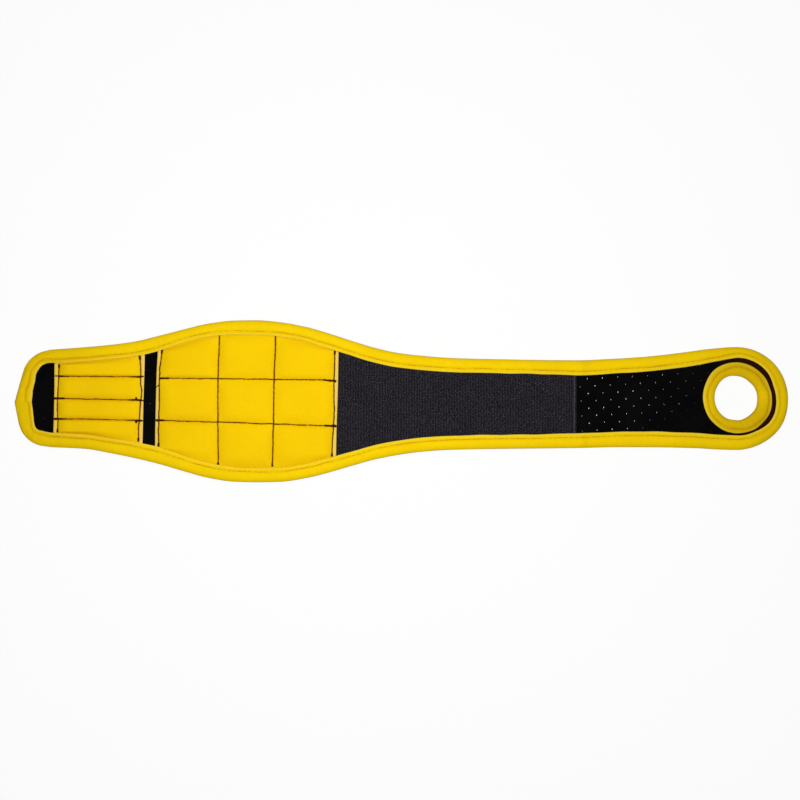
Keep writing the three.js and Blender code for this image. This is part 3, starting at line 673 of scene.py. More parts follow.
def ring_tape():
    angles = angles_round(180)
    inner, seams = ring_sizes(angles)
    widths = RING_OUTER + 0.45 * np.sin(angles) ** 2 - inner + 0.1 * np.sin(5 * angles)
    pucker = 0.13 * np.maximum(0, np.sin(angles * 26 + 0.8 * np.sin(angles * 5)))
    rings, marks = folded_tape(
        RING_CENTRE + inner[:, None] * spokes_at(angles), spokes_at(angles), angles * RING_MIDDLE,
        widths + bumps(angles, RING_BUMPS), seams, LOW_TAPE_TOP, BARE_REST, 31,
        wobble=0.8 * from_ring_ends(angles), crease=smooth(np.cos(angles + 0.55) * 1.3) * pucker,
    )
    # Painted shade over the whole ring, lighter or darker by angle and deeper about the seam. The painted shade
    # round the fold is deeper at the lower right, and the seam's painted shadow deeper on the right.
    marks["painted_shade"] = (0.58 + bumps(angles, RING_SHADE_BUMPS))[:, None] + 0.25 * marks.pop("broad_seam_shade")
    marks["rim"] *= (0.7 + 0.3 * np.cos(angles - 5.4))[:, None]
    marks["seam"] *= (1 + 1.3 * smooth(np.cos(angles - 0.15) * 1.8))[:, None]
    return rolled_tube("ring_tape", rings, marks, closed=True)


def ring_seam():
    angles = angles_round(288)
    inner, seams = ring_sizes(angles)
    path = RING_CENTRE + (inner + seams)[:, None] * spokes_at(angles)
    s = angles * (STITCH_PITCH * 36 / (2 * math.pi))
    levels = (RING_SEAM_LEVEL, BACK_SEAM_LEVEL)
    return joined([stitched_loop(path, level, s, 23, from_ring_ends(angles)) for level in levels], "ring_seam")


# Perforated foam of the base. Its holes lie on a lattice of diamonds, given by two steps in millimetres.
LATTICE_ORIGIN = np.array([292.69, 7.66])
LATTICE = np.array([(3.73, 4.04), (4.07, -3.64)])
CLEAR_HOLES = [(69.8, -1.4), (14.7, -8.8)]
CLEAR_REACH = 2.7
FOAM_INSET = 1.3
HOLE_RIM = 0.12
CELL_MARGIN = 6
FOLD_CUTS = 13


def foam_outline(index):
    """Closed outline of one length of foam, a little inside the tape's folded edge."""
    return np.concatenate([outline_at(s) + FOAM_INSET * inward_at(s) for s in runs_of(index, FOAM_STEP)])


def upright_block(points, low, high):
    """Block with a closed outline of points, from a many-sided disc extruded upwards."""
    bpy.ops.mesh.primitive_circle_add(vertices=len(points), radius=1, fill_type="NGON")
    block = named("block")
    place_points(block, points, low)
    edit(block, extrude(high - low), face_outwards)
    return block


def cut_with(piece, cutter, operation):
    apply_modifier(piece, "BOOLEAN", operation=operation, solver="MANIFOLD", object=cutter)
    bpy.data.objects.remove(cutter, do_unlink=True)


def hole_size(centres):
    """Radius of the perforations: the foam closes up where it is sewn down, and towards the thumb end."""
    place, height = centres.T
    size = 0.31 + 0.08 * ramp(place, 294, 4) + 0.04 * ramp(place, 335, 15)
    size -= 0.1 * ramp(height, -8, -3) * ramp(place, 318, 10)
    size -= 0.2 * ramp(place, 163, 2) * ramp(place, 173, -2)
    size -= 0.08 * ramp(place, 64, 2) * ramp(place, 76, -2)
    size -= 0.05 * ramp(place, 345, 10) + 0.08 * ramp(height, -3, -3) * ramp(place, 336, 6)
    size += 0.14 * ramp(place, 352, 2) * ramp(height, -10, -2)
    size -= 0.15 * ramp(place, 352, 2) * ramp(np.abs(height), 8, -4)
    size -= 0.3 * ramp(place, 360, 2) * ramp(height, 12, 3)
    for x, y in CLEAR_HOLES:
        size += 0.14 * (np.hypot(place - x, height - y) < 0.1)
    return np.maximum(size * (1 + 0.12 * grain(place / 5, height / 5, 7)), 0.05)


def foam_cell(name):
    """Cell of foam with a hole through it, from a grid whose inner points move onto the hole."""
    cell, column, row = flat_grid(name, 4, 4)
    at = read_points(cell) / 2
    middle = (column == 2) & (row == 2)
    ring = (abs(column - 2) <= 1) & (abs(row - 2) <= 1) & ~middle
    at[ring, :2] = unit(at[ring, :2]) * HOLE_RIM
    cell.data.vertices.foreach_set("co", at.astype(np.float32).ravel())
    edit(cell, lambda: delete_some(cell, "VERT", middle))
    return cell


def foam_sheet(index):
    points = foam_outline(index)
    block = upright_block(points, FOAM_BOTTOM, FOAM_TOP)
    steps = np.linalg.solve(LATTICE.T, (points - LATTICE_ORIGIN).T)
    low, high = np.floor(steps.min(1)).astype(int) - 1, np.ceil(steps.max(1)).astype(int) + 1
    sheet = foam_cell(f"foam_sheet_{index + 1}")
    for axis in (0, 1):
        count = int(high[axis] - low[axis] + 1)
        repeat(sheet, axis, count, 1, use_merge_vertices=True, merge_threshold=0.001)
    at = read_points(sheet)[:, :2] + low
    centre = np.rint(at)
    centres = centre @ LATTICE + LATTICE_ORIGIN
    for hole in CLEAR_HOLES:
        centres[np.hypot(*(centres - hole).T) < CLEAR_REACH] = hole
    rim = np.linalg.norm(at - centre, axis=1, keepdims=True) < 1.1 * HOLE_RIM
    wander = 0.12 * np.stack([grain(*centre.T, 5), grain(*centre.T, 6)], 1)
    spoke = (at - centre) @ LATTICE
    spoke /= np.maximum(np.linalg.norm(spoke, axis=1, keepdims=True), 0.001)
    on_rim = centres + wander + spoke * hole_size(centres)[:, None]
    place_points(sheet, np.where(rim, on_rim, at @ LATTICE + LATTICE_ORIGIN), FOAM_TOP + 1)
    # Cells that lie wholly outside the outline are thrown away before the sheet gets its thickness
    middles = np.array([face.center[:2] for face in sheet.data.polygons]) / MM + (MIDDLE, 0)
    low, high = points.min(0) - CELL_MARGIN, points.max(0) + CELL_MARGIN
    outside = np.any((middles <= low) | (middles >= high), 1)
    edit(sheet, lambda: delete_some(sheet, "FACE", outside), face_outwards)
    apply_modifier(sheet, "SOLIDIFY", thickness=(FOAM_TOP - FOAM_BOTTOM + 2) * MM, offset=1, use_rim=True)
    at = read_points(sheet)
    level = np.where(at[:, 2] < at[:, 2].mean(), FOAM_BOTTOM - 1, FOAM_TOP + 1)
    place_points(sheet, at[:, :2] / MM + (MIDDLE, 0), level)
    edit(sheet, face_outwards)
    cut_with(sheet, block, "INTERSECT")
    if index == len(CUTS):
        circle = spokes_at(angles_round(96)) * FOAM_HOLE_RADIUS + RING_CENTRE
        cut_with(sheet, upright_block(circle, FOAM_BOTTOM - 2, FOAM_TOP + 2), "DIFFERENCE")
    # The flat faces are cut across on each side of a fold
    places = np.linspace(FOLDS[index] - BENDS[index], FOLDS[index] + BENDS[index], FOLD_CUTS)
    places = (places - MIDDLE) * MM
    edit(sheet, *[lambda x=x: bpy.ops.mesh.bisect(plane_co=(x, 0, 0), plane_no=(1, 0, 0)) for x in places])
    at = read_points(sheet)
    place, height = at[:, 0] / MM + MIDDLE, at[:, 1] / MM
    note(sheet, weave=at, flush=smooth((place - 365 - 8 * smooth(-height / 5)) / 8))
    return sheet


# Seams of the quilted panels, as points of place and height
CHANNEL_UPRIGHTS = [
    [(23.05, 19.2), (22.55, 10), (22.1, 0.5), (22.28, -7.2), (22.2, -16.2)],
    [(64.45, 23.6), (65.25, 14.1), (65.2, 8.8), (65.6, 5.7), (64.75, -7.2), (64.2, -12), (63.75, -21)],
]
CHANNEL_RUNS = [
    [(20.4, -9.1), (39.7, -9.3), (66.5, -10.1)],
    [(20.5, 1.45), (39.7, 1.1), (66.7, 0.5)],
    [(20.9, 13.1), (39.7, 12.85), (66.9, 12.7)],
]
POCKET_UPRIGHTS = [
    [(76.2, 26.6), (75.45, 20), (74.94, 16), (74.75, 8.3), (74.82, 0.5), (74.4, -7.2), (74.35, -23.6)],
    [(105.95, 33.9), (105.3, 20), (105.1, 9.7), (104.98, 0), (105, -15), (105.15, -33)],
    [(135.05, 33.6), (134.5, 22), (134, 11.1), (133.8, -8.3), (133.2, -34)],
    [(165.5, 26.2), (165.43, 16), (165, 8.3), (165.2, 0.5), (165.14, -7.2), (164.63, -15), (163.9, -28.8)],
]
POCKET_RUNS = [
    [(72.9, -9.85), (104.7, -10.75), (133.7, -11.75), (165.5, -12.85)],
    [(74.8, 11.95), (104.7, 11.65), (133.7, 11.3), (160, 10.95), (165.3, 10.6)],
]
CHANNEL_ENDS = [
    [(20.55, 30), (20.5, 8), (20.25, -7), (19.95, -15), (19.8, -25)],
    [(67.3, 30), (67.05, 16), (66.5, 0), (66.2, -15), (65.8, -30)],
]
POCKET_ENDS = [
    [(74.1, 30), (73.87, 24), (73.32, 14), (72.9, -3), (72.65, -14), (72.45, -30)],
    [(167.5, 30), (167.12, 8.3), (166.85, 0), (166.37, -15), (166, -34)],
]

# Dark threads: the points of each, its radius and seed, and from where to where its tacks of thick stitches
# reach, from its start and back from its end. The short ones are ends of thread beside the tacks.
NO_TACK = (0, 0)
ANYWHERE = (-math.inf, math.inf)
CHANNEL_THREADS = [
    (CHANNEL_UPRIGHTS[0], 0.36, 51, (-1, 2.5), (2.5, -1)),
    (CHANNEL_UPRIGHTS[1], 0.36, 52, (-1, 2.5), (2.5, -1)),
    (CHANNEL_RUNS[0], 0.36, 55, (-1, 7), (8, 0.5)),
    (CHANNEL_RUNS[1], 0.36, 56, (-1, 6), (8, 0.5)),
    (CHANNEL_RUNS[2], 0.36, 57, (1.5, 7.5), (8, 0.5)),
    ([(62.9, 0.5), (63, 2.2)], 0.42, 61, (-1, 1.4), NO_TACK),
    ([(62.9, -10), (63, -11.6)], 0.42, 62, (-1, 1.4), NO_TACK),
]
POCKET_THREADS = [
    (POCKET_UPRIGHTS[0], 0.38, 71, (-1, 2.5), (2.5, -1)),
    (POCKET_UPRIGHTS[1], 0.38, 72, NO_TACK, (1.4, -1)),
    (POCKET_UPRIGHTS[2], 0.42, 73, NO_TACK, (1.4, -1)),
    (POCKET_UPRIGHTS[3], 0.38, 74, (-1, 2.5), (2.5, -1)),
    (POCKET_RUNS[0], 0.35, 76, (-1, 4.5), (6, -1)),
    (POCKET_RUNS[1], 0.35, 77, (-1, 5.5), (6, -1)),
    ([(75, 9), (74, 8.2), (73, 7.1)], 0.24, 81, NO_TACK, NO_TACK),
    ([(164.4, 11.0), (166.3, 10.1)], 0.36, 82, (-1, 9), NO_TACK),
    ([(164.2, -12.2), (166.4, -13.1)], 0.36, 83, (-1, 9), NO_TACK),
]

# How pale the hems are at places along the band, where the panels are folded under
HEM_PALENESS = [(22, 0.48), (66, 0.64), (74, 0.66), (166, 0.68)]
SEAM_LEVEL = FOAM_TOP + 0.06 + CLOTH_THICKNESS
MAGNET_LEVEL = 5.56 + CLOTH_THICKNESS
CROWN, HEM_RISE, TUCK_DROP = 0.3, 0.35, 0.12
CLOTH_CELL = 0.62
CLOTH_SPAN = 76
THREAD_STEP = 0.33
THREAD_LIFT = 0.16
TACK_SWELL, TACK_FADE = 0.3, 0.8

flap_low, flap_high = (inset_edge(FLAP_WIDTH + 0.35, side) for side in (-1, 1))
tucked_low, tucked_high = (inset_edge(4.2, side) for side in (-1, 1))


def between_edges(place, share):
    """Height at a share of the way from the lower to the upper edge of what is tucked under the tape."""
    return tucked_low(place) + share * (tucked_high(place) - tucked_low(place))


def upright(line):
    """Place of an upright line as a function of height."""
    places, heights = np.array(sorted(line, key=lambda point: point[1])).T
    return lambda height: np.interp(height, heights, places)


def along_band(line):
    """Height of a line along the band as a function of place."""
    places, heights = np.array(sorted(line)).T
    return lambda place: np.interp(place, places, heights)


def corners(name):
    """Lower and upper corner of a node of the CAD model, as place and height."""
    return [np.array([corner.x / MM + MIDDLE, corner.y / MM]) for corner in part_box(name)]


def swell(at, start, end, low, high):
    """Rise from two seams to the magnet between them, and the bow of slack cloth between the seams."""
    ease = lambda t: 1 - (1 - np.clip(t, 0, 1)) ** 2
    rise = ease((at - start) / np.maximum(low - start, 0.3)) * ease((end - at) / np.maximum(end - high, 0.3))
    return rise, np.clip((at - start) * (end - at) / ((end - start) / 2) ** 2, 0, 1)


class Panel:
    """A quilted panel: its seams across and along the band, its hemmed ends and the boxes of its magnets."""

    def __init__(self, uprights, runs, ends, boxes):
        self.uprights, self.ends = [upright(line) for line in uprights], [upright(line) for line in ends]
        self.runs, self.boxes = [along_band(line) for line in runs], boxes

    def rise(self, x, y):
        """Rise of the cloth, 0 along its seams and 1 over its magnets, and its bow in each cell."""
        rows = [flap_low, *self.runs, flap_high]
        rise, crown = np.zeros_like(x), np.zeros_like(x)
        for i, boxes in enumerate(self.boxes):
            left, right = self.uprights[i](y), self.uprights[i + 1](y)
            for j, ((x0, y0), (x1, y1)) in enumerate(boxes):
                bottom, top = rows[j](x), rows[j + 1](x)
                inside = (x > left) & (x < right) & (y > bottom) & (y < top)
                lifts, bows = zip(swell(x, left, right, x0, x1), swell(y, bottom, top, y0, y1))
                rise = np.where(inside, lifts[0] * lifts[1], rise)
                crown = np.where(inside, bows[0] * bows[1], crown)
        return rise, crown

    def surface(self, x, y):
        """Level of the cloth, and how far a point is on a seam and on a hem."""
        rise, crown = self.rise(x, y)
        gap = np.min([abs(x - line(y)) for line in self.uprights] + [abs(y - line(x)) for line in self.runs], 0)
        level = SEAM_LEVEL + (MAGNET_LEVEL - SEAM_LEVEL) * rise + CROWN * crown
        level += smooth(gap / 2.5) * (0.05 * grain(x / 7, y / 9, 41) + 0.03 * grain(x / 2.6, y / 3.1, 42))
        level += 0.05 * bump(gap, 1.2) * grain(x / 1.6, y / 1.6, 43) - 0.16 * bump(gap, 0.45)
        hem = np.minimum(x - self.ends[0](y), self.ends[1](y) - x)
        fold = np.clip(hem / 0.9, 0, 1)
        level += HEM_RISE * ramp(hem, 2.1, -0.8) * np.sqrt(np.clip(1 - (1 - fold) ** 2, 0, 1))
        return level, bump(gap, 0.5), ramp(hem, 1.75, -0.5) * looked_up(x, HEM_PALENESS)

    def cloth(self, name, within=ANYWHERE):
        """Cloth from one hemmed end to the other, as far as it lies within two places."""
        left = lambda y: np.maximum(self.ends[0](y), within[0])
        right = lambda y: np.minimum(self.ends[1](y), within[1])
        span = right(0) - left(0)
        a = np.linspace(0, 1, int(span / CLOTH_CELL) + 2)[:, None]
        b = np.linspace(0, 1, int(CLOTH_SPAN / CLOTH_CELL) + 1)[None, :]
        y = between_edges(left(0) + a * span + 0 * b, b)
        for _ in range(3):
            x = left(y) + a * (right(y) - left(y))
            y = between_edges(x, b)
        level, seam, hem = self.surface(x, y)
        # The cloth drops where it goes under the tape's lip, and the same mask carries a painted shadow there
        tuck = smooth((np.maximum(y - flap_high(x), flap_low(x) - y) + 0.7) / 0.9)
        points = np.stack([x, y, level - TUCK_DROP * tuck], -1)
        return laid_sheet(name, points, CLOTH_THICKNESS, seam=seam, hem=hem, tuck=tuck)

    def seams(self, name, threads, within=ANYWHERE):
        """The panel's threads, as far as they lie within two places."""
        level_at = lambda x, y: self.surface(x, y)[0]
        parts = [stitched_line(points, level_at, *thread, within) for points, *thread in threads]
        return joined([part for part in parts if part], name)


def stitched_line(line, level_at, radius, seed, head=NO_TACK, tail=NO_TACK, within=ANYWHERE, pinch=0.18):
    """Line of stitches through points, as far as it lies within two places, thick at its tacks."""
    line = np.array(line, float)
    lengths = travelled(line)
    s = np.arange(0, lengths[-1], THREAD_STEP)
    sway = 0.16 * grain(s / 4.2, 0, seed) + 0.06 * grain(s / 1.5, 0, seed + 5)
    path = points_along(s, lengths, line) + sway[:, None] * turned_left(unit(line[-1] - line[0]))
    keep = (path[:, 0] >= within[0]) & (path[:, 0] <= within[1])
    if keep.sum() < 4:
        return None
    path, s = path[keep], s[keep]
    tacked = 0
    for low, high in (head, [lengths[-1] - back for back in tail]):
        tacked = tacked + ramp(s, low, TACK_FADE) * ramp(s, high, -TACK_FADE)
    levels = level_at(*path.T) + THREAD_LIFT
    rings, marks = bead_run(path, levels, s, radius + TACK_SWELL * tacked, seed + 7, fill=0.4, pinch=pinch)
    return rolled_tube("stitches", rings, {**marks, "tack": tacked[:, None] + 0 * rings[..., 0]})


CHANNEL_BOXES = [[corners(f"bar_magnet_{j}") for j in range(1, 5)]]
POCKET_BOXES = [[corners(f"plate_magnet_{i}_{j}") for j in range(1, 4)] for i in range(1, 4)]
CHANNELS = Panel(CHANNEL_UPRIGHTS, CHANNEL_RUNS, CHANNEL_ENDS, CHANNEL_BOXES)
POCKETS = Panel(POCKET_UPRIGHTS, POCKET_RUNS, POCKET_ENDS, POCKET_BOXES)

# Loop strip, with fine ribs across it
RIB_PITCH = 1.38
STRIP_THICKNESS = 0.6
STRIP_ROWS = 19
HEM_REACH = 12
STRIP_SEAM = [(289.5, 13.6), (289.3, 4), (289.4, -6), (289.2, -16.8)]


def strip_level(x, y):
    rib = 0.1 * np.cos(2 * math.pi * x / RIB_PITCH) * (1 + 0.3 * grain(x / 0.9, y / 2.5, 91))
    return STRIP_LEVEL + rib + 0.04 * grain(x / 5, y / 6, 92) - 0.15 * ramp(x, STRIP_END - 0.5, 0.5)


def loop_strip(name, start, end):
    x = np.linspace(start, end, int((end - start) / (RIB_PITCH / 6)) + 1)[:, None] + np.zeros((1, STRIP_ROWS))
    y = between_edges(x, np.linspace(0, 1, STRIP_ROWS)[None, :])
    if start == STRIP_START:
        # The first length begins at the pocket panel's hem, which isn't straight
        hem = POCKETS.ends[1](y) + 0.15
        x = x + (hem - start) * np.clip((start + HEM_REACH - x) / HEM_REACH, 0, 1)
    return laid_sheet(name, np.stack([x, y, strip_level(x, y)], -1), STRIP_THICKNESS)


def strip_seam():
    return joined([stitched_line(STRIP_SEAM, strip_level, 0.2, 95, pinch=0.85)], "loop_strip_seam")


# Hook patch on the back of the hook end: a backing, its seam and a field of hooks
PATCH_LOW, PATCH_HIGH = corners("hook_patch")
HOOK_PITCH = 1.45
HOOK_MARGIN = np.array([2.4, 2.2])
HOOK_RADIUS = 0.11
PATCH_STITCH_PITCH = 2.4
SEAM_INSET, SEAM_CORNER = 1.0, 2.2


def hook_backing():
    bpy.ops.mesh.primitive_plane_add(size=1)
    backing = named("hook_backing")
    share = read_points(backing)[:, :2] + 0.5
    place_points(backing, PATCH_LOW + share * (PATCH_HIGH - PATCH_LOW), BACKING_LEVEL)
    edit(
        backing,
        lambda: bpy.ops.mesh.bevel(offset=3 * MM, segments=8, affect="VERTICES"),
        extrude(-BACKING_THICKNESS),
        face_outwards,
        lambda: bpy.ops.mesh.bevel(offset=0.1 * MM, segments=2, affect="EDGES"),
    )
    note(backing, weave=read_points(backing))
    return backing


def hook_field():
    """Hooks in rows, each a bent stem copied along and across the patch."""
    bend = [(0, 0.6, 0), (0, 0.32, 0.2), (0.07, 0.12, 0.9), (0.2, 0.06, 1.5), (0.3, 0.14, 2.2)]
    cosine, sine = spokes_at(angles_round(5)).T
    rings = []
    for k, (forward, level, tilt) in enumerate(bend):
        size = HOOK_RADIUS * (1 - 0.13 * k)
        ring = [forward + size * cosine * math.cos(tilt), size * sine, level + size * cosine * math.sin(tilt)]
        rings.append(np.stack(ring, 1) + (*(PATCH_LOW + HOOK_MARGIN), 0))
    rings = np.array(rings)
    hooks = rolled_tube("hook_field", rings, {"weave": rings * MM})
    for axis, room in enumerate(PATCH_HIGH - PATCH_LOW - 2 * HOOK_MARGIN):
        count = int(room / HOOK_PITCH) + 1
        repeat(hooks, axis, count, room / (count - 1) * MM)
    return hooks


def patch_seam():
    """Stitches round the patch, a little inside its edge, with round corners."""
    inset = SEAM_INSET + SEAM_CORNER
    (x0, y0), (x1, y1) = PATCH_LOW + inset, PATCH_HIGH - inset
    arcs = [
        np.array(centre) + SEAM_CORNER * spokes_at((turn + np.linspace(0, 1, 7)) * math.pi / 2)
        for turn, centre in enumerate([(x1, y1), (x0, y1), (x0, y0), (x1, y0)])
    ]
    loop = np.concatenate([*arcs, arcs[0][:1]])
    lengths = travelled(loop)
    count = int(round(lengths[-1] / PATCH_STITCH_PITCH))
    s = np.linspace(0, lengths[-1], 7 * count + 1)[:-1]
    path = points_along(s, lengths, loop)
    return joined([stitched_loop(path, PATCH_SEAM_LEVEL, s, 97, pitch=lengths[-1] / count)], "hook_patch_seam")


# Materials. A value is what a node gives, and a colour is a value or red, green and blue from 0 to 255.
FLOOR_SHARE = 0.1
SKY_LEVEL = 0.2


class Value:
    """A number or colour that changes over a surface, for use in expressions."""

    def __init__(self, nodes, socket):
        self.nodes, self.socket = nodes, socket

    def math(self, operation, *terms):
        return self.nodes.add("ShaderNodeMath", {"operation": operation}, dict(enumerate(terms)))

    def __add__(self, other):
        return self.math("ADD", self, other)

    def __rsub__(self, other):
        return self.math("SUBTRACT", other, self)

    def __mul__(self, other):
        return self.math("MULTIPLY", self, other)


class Nodes:
    def __init__(self, tree):
        self.tree = tree

    def add(self, kind, settings=None, inputs=None, output=0):
        """Adds a node, sets its settings and then its sockets, and gives one of its outputs."""
        made = self.tree.nodes.new(kind)
        for name, value in (settings or {}).items():
            setattr(made, name, value)
        for key, value in (inputs or {}).items():
            if isinstance(value, Value):
                self.tree.links.new(value.socket, made.inputs[key])
            else:
                made.inputs[key].default_value = value
        return Value(self, made.outputs[output])


def linear(colour):
    """Colour as the shader takes it."""
    if isinstance(colour, Value):
        return colour
    shares = [c / 255 for c in colour]
    return tuple(s / 12.92 if s <= 0.04045 else ((s + 0.055) / 1.055) ** 2.4 for s in shares) + (1,)


class Finish(Nodes):
    """A material, whose colour is laid on in coats and whose patterns follow a vector."""

    def __init__(self, name, **shader):
        self.material = bpy.data.materials.new(name)
        self.material.use_nodes = True
        super().__init__(self.material.node_tree)
        self.surface = self.tree.nodes["Principled BSDF"]
        for socket, value in shader.items():
            self.surface.inputs[socket.replace("_", " ")].default_value = value

    def noise(self, size, detail=3.0, roughness=0.5):
        """Noise of lumps of a size in millimetres, from 0 to 1."""
        inputs = {"Vector": self.vector, "Scale": 1 / (size * MM), "Detail": detail, "Roughness": roughness}
        return self.add("ShaderNodeTexNoise", None, inputs)

    def waves(self, x, y, pitch):
        """Smooth waves across a direction at a pitch in millimetres, from -1 to 1."""
        turns = tuple(d * 2 * math.pi / (pitch * MM) for d in (x, y, 0))
        turned = self.add("ShaderNodeVectorMath", {"operation": "DOT_PRODUCT"}, {0: self.vector, 1: turns}, "Value")
        return self.add("ShaderNodeMath", {"operation": "SINE"}, {0: turned})

    def blend(self, share, first, second):
        """Colour between two, by a share."""
        colours = {0: share, 6: linear(first), 7: linear(second)}
        return self.add("ShaderNodeMix", {"data_type": "RGBA", "clamp_factor": True}, colours, 2)

    def coat(self, share, colour, strength=None):
        """Lays a colour on, by a share or by what a mark of the piece's points says."""
        if isinstance(share, str):
            share = self.add("ShaderNodeAttribute", {"attribute_name": share}, output="Fac")
        self.colour = self.blend(share * strength if strength else share, self.colour, colour)

    def level(self, value, low, high, to_low=0.0, to_high=1.0):
        inputs = {"Value": value, "From Min": low, "From Max": high, "To Min": to_low, "To Max": to_high}
        return self.add("ShaderNodeMapRange", {"clamp": True}, inputs)

    def relief(self, height, depth, strength):
        """Surface raised by a height of 0 to 1, with its depth in millimetres."""
        inputs = {"Strength": strength, "Distance": depth * MM, "Height": height}
        return self.add("ShaderNodeBump", None, inputs, "Normal")

    def done(self, **sockets):
        for socket, value in {"Base_Color": self.colour, **sockets}.items():
            self.tree.links.new(value.socket, self.surface.inputs[socket.replace("_", " ")])
        return self.material


def fabric(name, roughness, gloss):
    """New finish with patterns in the weave of a piece."""
    finish = Finish(name, Roughness=roughness, Specular_IOR_Level=gloss)
    finish.vector = finish.add("ShaderNodeAttribute", {"attribute_name": "weave"}, output="Vector")
    return finish


def yellow_cloth():
    finish = fabric("pocket_cloth", 0.88, 0.04)
    threads = finish.waves(1, 0.02, 0.62) * finish.waves(0.02, 1, 0.62) * 0.5 + 0.5
    slubs, stains, fuzz = finish.noise(1.4), finish.noise(26), finish.noise(0.35, 2)
    finish.colour = finish.blend(finish.level(stains, 0.35, 0.7), (249, 207, 4), (243, 199, 5))
    finish.coat(finish.level(slubs, 0.3, 0.8, 0, 0.35), (238, 190, 3))
    finish.coat(1 - threads, (196, 146, 2), 0.1)
    finish.coat("seam", (190, 132, 4), 0.28)
    finish.coat("hem", (234, 202, 108))
    # Painted shadow where the cloth goes under the tape's lip
    finish.coat("tuck", (186, 156, 4), 0.35)
    return finish.done(
        Normal=finish.relief(threads * 0.7 + fuzz * 0.3, 0.05, 0.55),
        Roughness=finish.level(slubs, 0.2, 0.8, 0.82, 0.94),
    )


def yellow_tape():
    finish = fabric("edge_tape", 0.86, 0.04)
    threads = finish.waves(0.78, 0.62, 0.55) * finish.waves(0.62, -0.78, 0.55) * 0.5 + 0.5
    stains, creases = finish.noise(18), finish.noise(2.2, roughness=0.6)
    finish.colour = finish.blend(finish.level(stains, 0.35, 0.7), (253, 214, 5), (246, 207, 4))
    finish.coat(finish.level(creases, 0.35, 0.8, 0, 0.4), (232, 192, 4))
    finish.coat(1 - threads, (190, 156, 4), 0.1)
    finish.coat("lip", (226, 198, 30), 0.32)
    # Painted highlight along the lip, painted shade round the fold, towards both ends, over the thumb ring and about
    # the seam, and painted shadow in the seam's groove
    finish.coat("edge", (246, 222, 90), 0.55)
    finish.coat("rim", (206, 170, 6), 0.5)
    finish.coat("painted_shade", (206, 168, 6))
    finish.coat("seam", (200, 158, 4), 0.3)
    return finish.done(
        Normal=finish.relief(threads * 0.6 + creases * 0.4, 0.06, 0.6),
        Roughness=finish.level(creases, 0.2, 0.8, 0.8, 0.92),
    )


def thread(name, light, dark, tacked=None):
    finish = fabric(name, 0.85, 0.06)
    twist = finish.waves(1, 0.8, 0.42) * 0.5 + 0.5
    finish.colour = finish.blend(twist * 0.6 + finish.noise(3, 2) * 0.4, dark, light)
    if tacked:
        finish.coat("tack", tacked)
    return finish.done(Normal=finish.relief(twist, 0.06, 0.7))


def black_foam():
    finish = fabric("base_sheet", 0.95, 0.02)
    knit = finish.waves(1, 0, 0.5) * finish.waves(0, 1, 0.62) * 0.5 + 0.5
    lint, cloud = finish.noise(0.9, roughness=0.6), finish.noise(14, 2)
    finish.colour = finish.blend(finish.level(cloud, 0.35, 0.7), (7, 6, 6), (11, 11, 12))
    finish.coat(finish.level(lint, 0.62, 0.9, 0, 0.4), (30, 28, 32))
    finish.coat(knit, (4, 3, 4), 0.3)
    finish.coat("flush", (44, 16, 9), 0.9)
    return finish.done(Normal=finish.relief(knit * 0.5 + lint * 0.5, 0.07, 0.6))


def ribbed_strip():
    finish = fabric("loop_strip", 0.95, 0.02)
    rib = finish.waves(1, 0, RIB_PITCH) * 0.5 + 0.5
    across = finish.waves(0.08, 1, 0.85) * 0.5 + 0.5
    fuzz, patchy = finish.noise(0.55, 2, 0.6), finish.noise(9)
    raised = finish.blend(finish.level(patchy, 0.3, 0.75), (35, 33, 38), (43, 41, 47))
    finish.colour = finish.blend(rib * 0.85 + across * 0.15, (5, 5, 6), raised)
    finish.coat(finish.level(fuzz, 0.5, 0.3, 0, 0.7), (8, 8, 9))
    finish.coat(finish.level(fuzz, 0.5, 0.75, 0, 0.6), (98, 93, 105))
    return finish.done(Normal=finish.relief(fuzz * 0.7 + across * 0.3, 0.12, 0.8))


def magnet_metal():
    finish = Finish("magnet", Roughness=0.32, Metallic=1.0)
    place = finish.add("ShaderNodeTexCoord", output="Object")
    finish.vector = finish.add("ShaderNodeMapping", None, {0: place, "Scale": (0.1, 1, 1)})
    brushed = finish.noise(0.4)
    finish.colour = finish.blend(brushed, (150, 152, 156), (184, 186, 190))
    return finish.done(Roughness=finish.level(brushed, 0.2, 0.8, 0.25, 0.42))


def patch_plastic():
    finish = fabric("hook_patch", 0.6, 0.25)
    ground = finish.waves(1, 0, 0.7) * finish.waves(0, 1, 0.7) * 0.5 + 0.5
    finish.colour = finish.blend(finish.level(finish.noise(1.2), 0.45, 0.9, 0, 0.5), (20, 20, 22), (48, 47, 50))
    return finish.done(Normal=finish.relief(ground, 0.06, 0.6))


def pale_floor():
    finish = Finish("floor")
    camera_ray = finish.add("ShaderNodeLightPath", output="Is Camera Ray")
    clear = finish.add("ShaderNodeBsdfTransparent")
    paint = finish.add("ShaderNodeBsdfDiffuse", None, {"Color": (0.93, 0.93, 0.92, 1)})
    shown = finish.add("ShaderNodeMixShader", None, {0: camera_ray * FLOOR_SHARE, 1: clear, 2: paint})
    finish.tree.links.new(shown.socket, finish.tree.nodes["Material Output"].inputs["Surface"])
    return finish.material


FINISHES = {
    "pocket_cloth": yellow_cloth(),
    "edge_tape": yellow_tape(),
    "yellow_thread": thread("yellow_thread", (232, 184, 20), (176, 128, 8)),
    "dark_thread": thread("dark_thread", (118, 68, 4), (74, 37, 3), (60, 25, 4)),
    "pale_thread": thread("pale_thread", (104, 102, 110), (52, 50, 56)),
    "base_sheet": black_foam(),
    "loop_strip": ribbed_strip(),
    "magnet": magnet_metal(),
    "hook_patch": patch_plastic(),
}


def paint(piece, slot):
    piece.data.materials.clear()
    piece.data.materials.append(FINISHES[slot])


